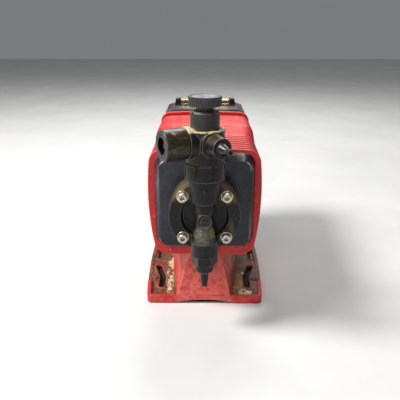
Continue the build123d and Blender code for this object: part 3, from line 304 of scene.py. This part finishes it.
def housing_look(name, edge_wear_and_highlight=0.0):
    """Red housing: painted sheen in paler streaks on top, painted shade in its grooves, brown below
    and pale nicks at the front.
    """
    s = red_parts(name, edge_wear_and_highlight)
    # painted sheen: paler streaks on what looks up, where the light from above falls
    sheen_streaks = s.patches(0.45, 0.75, 120, 4, 0.6, (1.0, 0.16, 0.4))
    s.paint(s.both(s.window(s.facing(Z), 0.3, 0.9), sheen_streaks, 0.3), (236, 128, 112))
    # painted shade: dark red in the grooves and corners
    s.paint(s.both(s.hollow(3.0, 0.5), 0.85), (84, 14, 12))
    s.paint(s.both(s.band(Z, 40, 62, 5), s.patches(0.52, 0.75, 150, 4, 0.7), 0.5), (150, 96, 70))
    for x, z, size in HOUSING_NICKS:
        nick = s.spot((x, HOUSING_FRONT, z), (size, 4, size), 0.3, 900)
        s.paint(s.both(nick, 0.9), (236, 230, 218))
    return closed(s, 0.46, 0.1, Specular_IOR_Level=0.3)


def base_look(name, edge_wear_and_highlight=0.0):
    """The red base with what has run down and dried in its pockets."""
    s = red_parts(name, edge_wear_and_highlight)
    rubbed = s.both(s.band(X, -24, 24, 2), s.patches(0.34, 0.66, 230, 5, 0.7))
    s.paint(s.both(rubbed, 0.6), (226, 134, 120))
    splashes = s.both(s.band(Z, 8, 46, 3), s.dots(1200, 0.26, 0.08, (1, 1, 0.5)))
    s.paint(s.both(splashes, 0.85), (240, 214, 200))

    film = s.both(s.window(s.facing(Z), 0.7, 0.98), s.band(Z, 1, 6.2, 0.3))
    s.paint(s.both(film, s.patches(0.26, 0.46, 130, 5, 0.72), 0.92), (92, 70, 46))
    s.paint(s.both(film, s.patches(0.46, 0.6, 90, 4, 0.7, warp=0.6), 0.8), (46, 34, 24))
    s.paint(s.both(film, s.patches(0.54, 0.64, 620, 5, 0.75), 0.8), (150, 126, 84))
    for centre, radii in (((-33, -30, 4), (4.5, 36, 4)), ((-31, -64, 4), (4, 20, 4))):
        dried = s.patches(0.44, 0.54, 360, 4, 0.7, (1, 0.4, 1))
        s.paint(s.both(film, s.spot(centre, radii, 0.25, 150), dried, 0.9), (214, 200, 162))
    ochre = s.both(film, s.band(X, 22, 36, 3), s.band(Y, -84, -44, 6))
    s.paint(s.both(ochre, s.patches(0.3, 0.46, 200, 5, 0.75), 0.9), (206, 168, 100))

    for side, brown, cream in ((-1, 0.2, 0.3), (1, 0.75, 0.45)):
        run = s.spot((side * 29, -46, 16), (9, 44, 26), 0.25, 150)
        s.paint(s.both(run, s.patches(0.4, 0.56, 120, 4, 0.6, (1, 0.6, 0.1)), brown), (118, 98, 58))
        run = s.spot((side * 26, -44, 26), (7, 40, 22), 0.2, 150)
        s.paint(s.both(run, s.patches(0.52, 0.62, 330, 3, 0.6, (1, 0.25, 0.06)), cream), CREAM)
    skirt = s.both(s.patches(0.4, 0.7, 120, 4, 0.7), s.band(Z, 0, 12, 1))
    s.paint(s.both(skirt, s.window(s.facing(Z), 0.5, 0.2), 0.4), (222, 122, 108))
    s.paint(s.both(s.hollow(5.0), s.patches(0.35, 0.6, 240, 4, 0.7), 0.6), (74, 54, 36))
    return closed(s, 0.52, 0.3, Specular_IOR_Level=0.3)


# ---------------------------------------------------------------- looks of the liquid end
VALVE_FOOT = (0.0, -121.0, 0.0)
OUTLET_ROOT = (0.0, -121.0, 153.0)
PORT_TURN = radians(27)
OUTLET = (-cos(PORT_TURN), -sin(PORT_TURN), 0.0)


def cover_look(name, edge_wear_and_highlight=0.0):
    """Navy front cover: glossy, with a painted sheen of pale grey on its upper left, rubbed edges
    with a painted highlight along the top, and a line of dust on its upper slope.
    """
    lift = 46 * edge_wear_and_highlight
    tones = (paler((7, 8, 20), lift), paler((13, 15, 30), lift), (50, 50, 58))
    s = plastic(name, tones, 0.16)
    # painted sheen: the upper left is made paler grey, where the light falls
    painted_sheen = s.both(s.window(s.along(X), 0.012, -0.044), s.window(s.along(Z), 0.062, 0.128))
    s.paint(s.both(s.patches(0.3, 0.75, 46, 5, 0.7), painted_sheen, 0.8), (96, 96, 108))
    s.paint(s.both(s.dots(420, 0.2, 0.02), 0.4), (120, 116, 110))
    crust = s.patches(0.42, 0.56, 300, 5, 0.75)
    s.paint(s.both(s.band(Z, 134.2, 138, 0.7), crust, 0.75), (138, 120, 92))
    s.paint(s.both(s.hollow(3.0), s.patches(0.4, 0.65, 200, 4), 0.2), DRIED_BROWN)
    # painted highlight: the rounded edges near the top are pale grey
    if edge_wear_and_highlight:
        s.paint(s.both(s.band(Z, 126, 140, 3), s.patches(0.3, 0.6, 60, 3), 0.8), (176, 178, 186))
    return closed(s, 0.26, 0.06, 900, 0.2, Specular_IOR_Level=0.4)


def head_look(name, edge_wear_and_highlight=0.0):
    """Pump head: black, with dried brown liquid on its shoulders, a grey bloom on its cone that is
    partly painted light, and a painted glint down the front of its neck.
    """
    s = black_parts(name, 56 * edge_wear_and_highlight, scuffs=0.14)
    for centre, radii, amount in (
        ((-19, -112, 113), (11, 12, 10), 0.9), ((20, -112, 114), (11, 12, 12), 1.0),
    ):
        shoulder = s.spot(centre, radii, 0.3, 190)
        s.paint(s.both(shoulder, s.patches(0.3, 0.6, 420, 5, 0.7), amount), (124, 102, 62))
    # grey on the cone: a bloom, and partly the painted light of its lit face
    bloom_and_light = s.spot((0, -128, 84), (11, 9, 9), 0.2, 180)
    s.paint(s.both(bloom_and_light, s.patches(0.28, 0.62, 500, 4, 0.7), 0.8), (112, 106, 94))
    s.paint(s.both(s.spot((6, -128, 86), (3.4, 6, 5), 0.4, 300), 0.6), (128, 116, 62))
    s.paint(s.both(s.spot((20, -116, 84), (3, 6, 14), 0.3, 200), 0.5), DRIED_BROWN)
    s.paint(s.both(s.scratches(420, (1, 1, 0.25), 0.04, 79), 0.6), (150, 144, 132))
    # painted glint: a thin pale upright line down the front of the neck
    s.paint(s.both(s.spot((-0.3, -134, 118.7), (0.35, 3, 3.0), 0.2, 700), 0.8), (170, 168, 160))
    return closed(s, 0.38, 0.2, Specular_IOR_Level=0.25)


def valve_body_look(name, edge_wear_and_highlight=0.0):
    """Valve body: black with a cream line of residue along its top edge."""
    s = black_parts(name, 52 * edge_wear_and_highlight, scuffs=0.2)
    outer = s.window(s.off_axis(VALVE_FOOT, (0, 0, 1)), 0.0112, 0.0128)
    rim = s.both(outer, s.window(s.along(Z), 0.1609, 0.1616))
    s.paint(s.both(rim, s.patches(0.33, 0.5, 420, 5, 0.75)), (206, 190, 148))
    s.paint(s.both(s.band(Z, 150, 166, 4), s.patches(0.55, 0.72, 300, 5, 0.7), 0.35), (112, 96, 70))
    return closed(s, 0.38, 0.2, Specular_IOR_Level=0.28)


def outlet_look(name, edge_wear_and_highlight=0.0):
    """Outlet nut: rubbed khaki brown above, painted shade in near black below and inside its bore,
    with long scratches.
    """
    s = black_parts(name, 40 * edge_wear_and_highlight, top=0.0)
    rubbed = s.both(s.window(s.facing(Z), -0.42, -0.3), s.patches(0.2, 0.5, 170, 4, 0.65))
    s.paint(s.both(rubbed, 0.85), (50, 43, 30))
    # painted shade: near black on what looks down
    shaded_underside = s.window(s.facing(Z), -0.38, -0.5)
    s.paint(shaded_underside, (5 + 40 * edge_wear_and_highlight, 5 + 38 * edge_wear_and_highlight, 5 + 36 * edge_wear_and_highlight))
    across = [0.25 + 0.75 * (1 - abs(OUTLET[axis])) for axis in (X, Y)]
    streaks = s.patches(0.52, 0.66, 420, 4, 0.7, (*across, 1.0))
    s.paint(s.both(rubbed, streaks, 0.65), (112, 98, 70))
    s.paint(s.both(s.spot((-20.5, -139, 163), (2.4, 2.4, 2), 0.5, 500), 0.8), (178, 120, 104))
    end_face = s.window(s.toward(OUTLET), 0.6, 0.9)
    s.paint(end_face, (24 + 60 * edge_wear_and_highlight, 23 + 58 * edge_wear_and_highlight, 21 + 54 * edge_wear_and_highlight))
    # painted shade: near black inside the bore
    s.paint(s.window(s.off_axis(OUTLET_ROOT, OUTLET), 0.0068, 0.006), (8, 8, 8))
    return closed(s, 0.38, 0.2, Specular_IOR_Level=0.3)


def knob_look(name, edge_wear_and_highlight=0.0):
    """Vent knob and stroke dial: a paler black with grey dust."""
    s = black_parts(name, 24 + 50 * edge_wear_and_highlight, ASH, 0.5, 0.2)
    s.paint(s.both(s.patches(0.55, 0.8, 600, 4, 0.7), 0.25), (110, 108, 106))
    return closed(s, 0.36, 0.12, Specular_IOR_Level=0.4)


def cap_look(name):
    """Violet grey disc in the top of the knob; its pale violet grey is a painted reflection of the
    light from above.
    """
    s = plastic(name, ((128, 125, 137), (150, 147, 158), (184, 181, 188)), 0.5)
    s.paint(s.both(s.patches(0.52, 0.7, 240, 4, 0.7), 0.35), (92, 88, 97))
    return closed(s, 0.3, 0.1)


def dark_look(name, edge_wear_and_highlight=0.0):
    """Black nuts, brackets and caps."""
    return closed(black_parts(name, 58 * edge_wear_and_highlight), 0.38, 0.18, Specular_IOR_Level=0.28)


def fitting_look(name, edge_wear_and_highlight=0.0):
    """Sooty valve parts, a little paler than the nuts."""
    s = black_parts(name, 34 + 44 * edge_wear_and_highlight, KHAKI, 0.45, 0.5)
    return closed(s, 0.46, 0.22, Specular_IOR_Level=0.3)


def nozzle_look(name, edge_wear_and_highlight=0.0):
    """Hose tails and bleed nozzle: smooth and nearly clean."""
    s = black_parts(name, 4 + 60 * edge_wear_and_highlight, ASH, 0.1, 0.3, 0.1)
    return closed(s, 0.34, 0.08, Specular_IOR_Level=0.4)


# ---------------------------------------------------------------- looks of the control unit
def control_look(name, edge_wear_and_highlight=0.0):
    """Navy control unit with pale dust."""
    lift = 26 * edge_wear_and_highlight
    s = plastic(name, (paler((18, 20, 31), lift), paler((28, 31, 46), lift), (78, 80, 88)), 0.2)
    return closed(dusted(s, ASH, 0.4, 0.35, 3.0), 0.36, 0.12, Specular_IOR_Level=0.4)


def amber_look(name):
    """Aged clear cover, gone amber, with cream flakes that are crust and painted highlights."""
    s = plastic(name, ((222, 196, 130), (236, 214, 156), (250, 240, 204)), 0.3)
    crust_and_highlights = s.math("ADD", s.band(Z, 150.5, 170, 1.5), 0.12)
    # cream flakes: crust, and painted highlights of the light on the clear plastic
    s.paint(s.both(s.patches(0.5, 0.64, 380, 5, 0.75), crust_and_highlights, 0.85), (244, 238, 212))
    s.paint(s.both(s.patches(0.56, 0.72, 210, 4, 0.7), crust_and_highlights, 0.6), (120, 92, 44))
    return closed(s, 0.14, 0.05, 700, Transmission_Weight=0.92, IOR=1.5,
                  Coat_Weight=0.4, Coat_Roughness=0.15)


# ---------------------------------------------------------------- pieces from the CAD bodies
BODY = {node: body
        for body, nodes in frame["record"]["behaviour"]["bodies"].items() for node in nodes}
SLOT = {part["node"]: part["material_slot"] for part in frame["record"]["subparts"]}

WELD = 0.000002  # metres: corners nearer than this are one
FLAT = radians(0.05)  # faces nearer than this to one plane are joined
EDGE = radians(13)  # edges sharper than this are rounded
STRAY = 0.45  # share of the rounding's width that it may stand off the surface
TRIES = 5


def place(name, mesh, body, materials):
    """A new piece that rides on a body, with the given materials."""
    piece = bpy.data.objects.new(name, mesh)
    bpy.context.scene.collection.objects.link(piece)
    mesh.materials.clear()
    for material in materials:
        mesh.materials.append(material)
    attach(piece, body)
    return piece


def evaluated(piece):
    """A new mesh of the piece as its modifiers leave it."""
    graph = bpy.context.evaluated_depsgraph_get()
    return bpy.data.meshes.new_from_object(piece.evaluated_get(graph),
                                           preserve_all_data_layers=True, depsgraph=graph)


def stray_corners(mesh, tree, reach):
    """Corners of the faces that a bevel threw off the surface or turned over."""
    mesh.calc_loop_triangles()
    found = []
    for triangle in mesh.loop_triangles:
        corners = [mesh.vertices[index].co for index in triangle.vertices]
        middle = (corners[0] + corners[1] + corners[2]) / 3
        _, normal, _, away = tree.find_nearest(middle)
        strays = [corner for corner in corners if tree.find_nearest(corner)[3] > reach]
        turned = triangle.area > 1e-9 and normal.dot(triangle.normal) < -0.3
        if strays or turned or away > reach:
            found.extend(corners)
    return found


def softened(node, width, looks, segments=2, crisp=(0, 0)):
    """Stand-in for a CAD node with its edges rounded, worn and given a painted highlight.

    An edge stays sharp where its rounding would leave the surface, and between the two
    places along Y that crisp gives. looks are those of the faces and of the rounded edges, which
    are worn and carry a painted highlight.
    """
    bm = bmesh.new()
    bm.from_mesh(frame["nodes"][node].data)
    bmesh.ops.remove_doubles(bm, verts=bm.verts, dist=WELD)
    bmesh.ops.dissolve_limit(bm, angle_limit=FLAT, verts=bm.verts, edges=bm.edges)
    tree = BVHTree.FromBMesh(bm)
    weight = bm.edges.layers.float.new("bevel_weight_edge")
    for face in bm.faces:
        face.smooth = True
    for edge in bm.edges:
        sharp = edge.calc_face_angle(0) > EDGE
        kept = all(crisp[0] < vert.co.y / MM < crisp[1] for vert in edge.verts)
        edge[weight] = float(sharp and not kept)
        edge.smooth = not (sharp and kept)
    mesh = bpy.data.meshes.new(node + "_soft")
    piece = place(node + "_soft", mesh, BODY[node], looks)
    bevel = piece.modifiers.new("edge", "BEVEL")
    bevel.limit_method = "WEIGHT"
    bevel.width = width * MM
    bevel.segments = segments
    bevel.material = 1
    bevel.use_clamp_overlap = False
    for attempt in range(TRIES):
        bm.to_mesh(mesh)
        strays = stray_corners(evaluated(piece), tree, width * MM * STRAY)
        if not strays:
            break
        near = KDTree(len(strays))
        for index, corner in enumerate(strays):
            near.insert(corner, index)
        near.balance()
        reach = width * MM * (2 + attempt)
        for edge in bm.edges:
            if edge[weight] and min(near.find(vert.co)[2] for vert in edge.verts) < reach:
                edge[weight] = 0.0
                edge.smooth = False
    bm.free()
    piece.modifiers.new("weigh", "WEIGHTED_NORMAL").keep_sharp = True
    piece.data = evaluated(piece)
    piece.modifiers.clear()
    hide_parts(node)
    return piece


# ---------------------------------------------------------------- dress every node
def pair(recipe, name):
    """Looks of a part's faces and of its rounded edges, which are worn and carry a painted
    highlight.
    """
    return recipe(name), recipe(name + "_edge", 1.0)


LOOKS = {
    "red_plastic": closed(red_parts("red_plastic"), 0.4),
    "navy_plastic": control_look("navy_plastic"),
    "black_plastic": dark_look("black_plastic"),
    "grey_plastic": fitting_look("grey_plastic"),
    "stainless": metal("stainless", (190, 180, 162), (150, 138, 116), 0.28),
    "drive_steel": metal("drive_steel", (150, 150, 154), (116, 114, 112), 0.35),
    "copper": metal("copper", (196, 116, 70), (150, 84, 50), 0.35, (1, 6, 1)),
    "rubber": plain("rubber", ((22, 22, 22), (32, 32, 32), (60, 58, 56)), 0.7),
    "ceramic": plain("ceramic", ((226, 222, 210), (238, 235, 226), (244, 242, 236)), 0.18,
                     top=0.1, corners=0.2),
    "panel_film": plain("panel_film", ((112, 115, 122), (128, 131, 138), (170, 170, 170)), 0.42,
                        top=0.3),
    "window": plain("window", ((58, 68, 56), (72, 84, 68), (120, 128, 110)), 0.08,
                    top=0.2, corners=0.2, grain=0.02),
    "amber_clear": amber_look("amber_clear"),
    "circuit": plain("circuit", ((22, 70, 36), (30, 86, 46), (120, 140, 90)), 0.35),
}
for node, item in frame["nodes"].items():
    item.data.materials.clear()
    item.data.materials.append(LOOKS[SLOT[node]])

# the edges of stainless parts: paler and smoother, for wear and a painted highlight
STEEL = LOOKS["stainless"], metal("stainless_edge", (226, 219, 204), (190, 180, 160), 0.24)
BLACK = pair(dark_look, "black_fitting")
NOZZLE = pair(nozzle_look, "nozzle")
KNOB = pair(knob_look, "vent_knob")
CRISP = {"housing": (-83, -37)}  # the ribbed front of the housing
ROUNDED = (  # node, width of the rounding, looks, segments
    ("housing", 0.5, pair(housing_look, "red_housing"), 3),
    ("base", 0.32, pair(base_look, "red_base"), 3),
    ("front_cover", 0.55, pair(cover_look, "navy_cover"), 3),
    ("head_bracket", 0.4, BLACK, 2),
    ("pump_head", 0.3, pair(head_look, "black_head"), 2),
    ("head_plug", 0.25, BLACK, 2),
    ("head_bolts", 0.25, STEEL, 2),
    ("head_washers", 0.2, STEEL, 2),
    ("suction_nut", 0.25, BLACK, 2),
    ("suction_hose_tail", 0.2, BLACK, 2),
    ("union_nut", 0.25, BLACK, 2),
    ("valve_body", 0.35, pair(valve_body_look, "valve_body"), 2),
    ("outlet_nut", 0.35, pair(outlet_look, "outlet_nut"), 2),
    ("outlet_hose_tail", 0.2, NOZZLE, 2),
    ("bleed_nut", 0.35, BLACK, 2),
    ("bleed_nozzle", 0.25, NOZZLE, 2),
    ("vent_bonnet", 0.3, pair(fitting_look, "sooty_fitting"), 2),
    ("vent_knob", 0.14, KNOB, 2),
    ("knob_cap", 0.25, [cap_look("knob_cap")] * 2, 2),
    ("control_housing", 0.5, pair(control_look, "control"), 3),
    ("hinge_blocks", 0.4, BLACK, 2),
    ("stroke_dial", 0.3, KNOB, 2),
    ("signal_sockets", 0.3, BLACK, 2),
    ("socket_caps", 0.4, BLACK, 2),
    ("cable_gland", 0.3, BLACK, 2),
    ("gland_nut", 0.3, BLACK, 2),
    ("panel_cover", 0.35, [LOOKS["amber_clear"]] * 2, 2),
    *((f"key_{index}", 0.3, [LOOKS["panel_film"]] * 2, 2) for index in range(1, 5)),
)
for node, width, looks, segments in ROUNDED:
    softened(node, width, looks, segments, CRISP.get(node, (0, 0)))

# The return spring, softened, with a mesh of its own.
spring = softened("return_spring", 0.06, [LOOKS[SLOT["return_spring"]]] * 2)
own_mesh(spring)


# ---------------------------------------------------------------- crumbs and dried chemical
FLOOR_TOP = 4.0  # of the base's floor


def lump(bm, centre, radius, draw):
    """One irregular flattened crumb."""
    made = bmesh.ops.create_icosphere(bm, subdivisions=2, radius=1.0)["verts"]
    shift = Vector((draw.uniform(-9, 9), draw.uniform(-9, 9), draw.uniform(-9, 9)))
    size = Vector((draw.uniform(0.75, 1.3), draw.uniform(0.75, 1.3), draw.uniform(0.5, 0.8)))
    size *= radius
    turn = Matrix.Rotation(draw.uniform(0, pi), 3, "Z")
    for vert in made:
        swell = 1 + 0.42 * noise.noise(vert.co * 1.6 + shift)
        vert.co = turn @ (vert.co * swell * size) * MM + Vector(centre) * MM


def crumbs(name, look, seed, fields):
    """Loose crumbs on the base's floor.

    A field is its reach along X and Y, the number of its crumbs and their radii.
    """
    draw = Random(seed)
    bm = bmesh.new()
    for (x_low, x_high), (y_low, y_high), count, (small, large) in fields:
        for _ in range(count):
            radius = small + (large - small) * draw.random() ** 2.5
            x, y = draw.uniform(x_low, x_high), draw.uniform(y_low, y_high)
            lump(bm, (x, y, FLOOR_TOP + radius * 0.35), radius, draw)
    mesh = bpy.data.meshes.new(name)
    bm.to_mesh(mesh)
    bm.free()
    mesh.shade_smooth()
    place(name, mesh, "root", [look])


cream_crust = plain("cream_crust", ((214, 200, 156), (236, 226, 190), (246, 240, 216)), 0.75,
                    KHAKI, 0.1, 0.4, 0.5)
ochre_crust = plain("ochre_crust", ((128, 98, 40), (164, 132, 62), (204, 178, 110)), 0.8,
                    KHAKI, 0.3, 0.5, 0.5)
brown_grit = plain("brown_grit", ((52, 40, 28), (78, 60, 40), (120, 98, 68)), 0.85,
                   KHAKI, 0.3, 0.5, 0.5)
crumbs("cream_lumps", cream_crust, 11, [
    ((31, 41), (-80, -71), 15, (1.1, 3.0)),
    ((36, 37), (-42, -40), 2, (1.0, 1.6)),
])
crumbs("ochre_crumbs", ochre_crust, 12, [
    ((23, 33), (-80, -50), 64, (0.3, 1.3)),
    ((-33, -27), (-79, -60), 18, (0.25, 0.7)),
])
crumbs("brown_grit", brown_grit, 13, [
    ((-46, -26), (-80, -72), 60, (0.2, 0.8)),
    ((-34, -27), (-70, -30), 44, (0.2, 0.7)),
    ((26, 45), (-80, -72), 30, (0.2, 0.7)),
    ((-46, -27), (66, 80), 40, (0.2, 0.8)),
    ((27, 46), (66, 80), 40, (0.2, 0.8)),
])


# ---------------------------------------------------------------- marks on the rear panel
PANEL_FACE = 78.0
KEY_FACE = 78.8
DIAL_MIDDLE = (0, 95)
DIAL_REACH = 135  # degrees to either side of straight up
DIAL_STEPS = 20
LONG_STEPS = 5  # every fifth mark is long
NUMBER_MIDDLE = 81.6  # along Z, of the 0 and the 100
NUMBER_HALF = 1.1  # half their height


def raised(name, outlines, face_y, thick, look, body):
    """Thin raised marks that look along +Y, from closed outlines in X and Z."""
    bm = bmesh.new()
    for outline in outlines:
        face = bm.faces.new([bm.verts.new((x * MM, face_y * MM, z * MM)) for x, z in outline])
        pushed = bmesh.ops.extrude_face_region(bm, geom=[face])["geom"]
        corners = [item for item in pushed if isinstance(item, bmesh.types.BMVert)]
        bmesh.ops.translate(bm, vec=(0, thick * MM, 0), verts=corners)
    bmesh.ops.recalc_face_normals(bm, faces=bm.faces)
    mesh = bpy.data.meshes.new(name)
    bm.to_mesh(mesh)
    bm.free()
    place(name, mesh, body, [look])


def tick(turn, inner, outer, width):
    """Outline of one mark of the dial; turn is clockwise from straight up, seen from behind."""
    out = Vector((-sin(turn), cos(turn)))
    side = Vector((out.y, -out.x)) * width / 2
    return [tuple(Vector(DIAL_MIDDLE) + out * reach + side * sign)
            for reach, sign in ((inner, -1), (inner, 1), (outer, 1), (outer, -1))]


def bar(left, right, low, high):
    """Outline of an upright bar."""
    return [(left, low), (right, low), (right, high), (left, high)]


def ring(middle, inner, outer, steps=14):
    """Outlines of a ring's two halves, for zeros and one key sign."""
    halves = []
    for start in (0, pi):
        turns = [start + pi * index / steps for index in range(steps + 1)]
        halves.append([(middle[0] + cos(turn) * radius, middle[1] + sin(turn) * radius)
                       for radius, way in ((outer, turns), (inner, turns[::-1])) for turn in way])
    return halves


white_ink = plain("white_ink", ((196, 198, 202), (214, 216, 219), (232, 233, 235)), 0.5,
                  top=0.2, corners=0.3, grain=0.1)
scale = []
for step in range(DIAL_STEPS + 1):
    turn = radians(-DIAL_REACH + 2 * DIAL_REACH / DIAL_STEPS * step)
    outer, width = (16.5, 0.32) if step % LONG_STEPS else (17.4, 0.5)
    scale.append(tick(turn, 15.4, outer, width))
for x in (17.4, -16.2, -18.8):
    scale.extend(ring((x, NUMBER_MIDDLE), 0.65, 1.05))
scale.append(bar(-13.6, -13.2, NUMBER_MIDDLE - NUMBER_HALF, NUMBER_MIDDLE + NUMBER_HALF))
raised("dial_scale", scale, PANEL_FACE, 0.12, white_ink,
       BODY["control_panel"])

KEY_SIGNS = {
    1: [[(-21.6, 116.6), (-17.4, 116.6), (-19.5, 120.0)]],
    2: [[(-8.6, 119.6), (-6.5, 116.2), (-4.4, 119.6)]],
    3: ring((6.5, 118), 1.5, 2.1),
    4: [bar(17.6, 18.5, 116.2, 119.8), bar(20.5, 21.4, 116.2, 119.8)],
}
for index, signs in KEY_SIGNS.items():
    raised(f"key_sign_{index}", signs, KEY_FACE, 0.1, white_ink,
           BODY[f"key_{index}"])


# ---------------------------------------------------------------- stage, light and camera
LIGHTS = (  # place in metres, diameter in metres, power in watts
    ("key", (-0.75, -0.25, 1.0), 0.36, 22),
    ("front", (-0.25, -1.3, 0.75), 0.6, 4.2),
    ("top_back", (0.1, 0.75, 0.95), 0.6, 7.5),
)
LIT = (0, -0.05, 0.09)  # metres: where the lights are aimed
DAYLIGHT = (0.92, 0.96, 1.0, 1)
FLOOR_HALF = 3.0  # metres
SHADE_HALVES = ((X, 49), (Y, 84))  # half sizes of the dark patch under the base


def area_light(name, place_at, size, power):
    data = bpy.data.lights.new(name, "AREA")
    data.shape = "DISK"
    data.size = size
    data.energy = power
    light = bpy.data.objects.new(name, data)
    light.location = place_at
    light.rotation_euler = (Vector(LIT) - Vector(place_at)).to_track_quat("-Z", "Y").to_euler()
    bpy.context.scene.collection.objects.link(light)


def pale_floor():
    """A wide mottled floor, dark under the base, so that its slots look into shade."""
    mesh = bpy.data.meshes.new("floor")
    corners = [(x * FLOOR_HALF, y * FLOOR_HALF, 0) for x, y in ((-1, -1), (1, -1), (1, 1), (-1, 1))]
    mesh.from_pydata(corners, [], [(0, 1, 2, 3)])
    floor = bpy.data.objects.new("floor", mesh)
    bpy.context.scene.collection.objects.link(floor)
    s = Surface("floor_paper")
    s.ground(s.patches(0.3, 0.7, 9, 4), (204, 203, 200), (214, 213, 210))
    s.paint(s.both(*(s.band(axis, -half, half, 1) for axis, half in SHADE_HALVES)), (20, 19, 18))
    mesh.materials.append(s.finish(0.85))


def studio():
    pale_floor()
    for row in LIGHTS:
        area_light(*row)
    world = bpy.data.worlds.new("studio")
    world.use_nodes = True
    sky = world.node_tree.nodes["Background"].inputs
    sky["Color"].default_value = DAYLIGHT
    sky["Strength"].default_value = 0.21
    bpy.context.scene.world = world


def camera():
    """The photograph's own view: 20.5 degrees down, turned a shade to the left."""
    data = bpy.data.cameras.new("camera")
    data.sensor_width = 36.0
    data.lens = 42.3
    eye = bpy.data.objects.new("camera", data)
    eye.location = (0, -0.441, 0.229)
    eye.rotation_euler = (radians(90 - 20.5), 0, radians(0.61))
    bpy.context.scene.collection.objects.link(eye)
    bpy.context.scene.camera = eye


studio()
camera()
bpy.context.scene.view_settings.view_transform = "Standard"
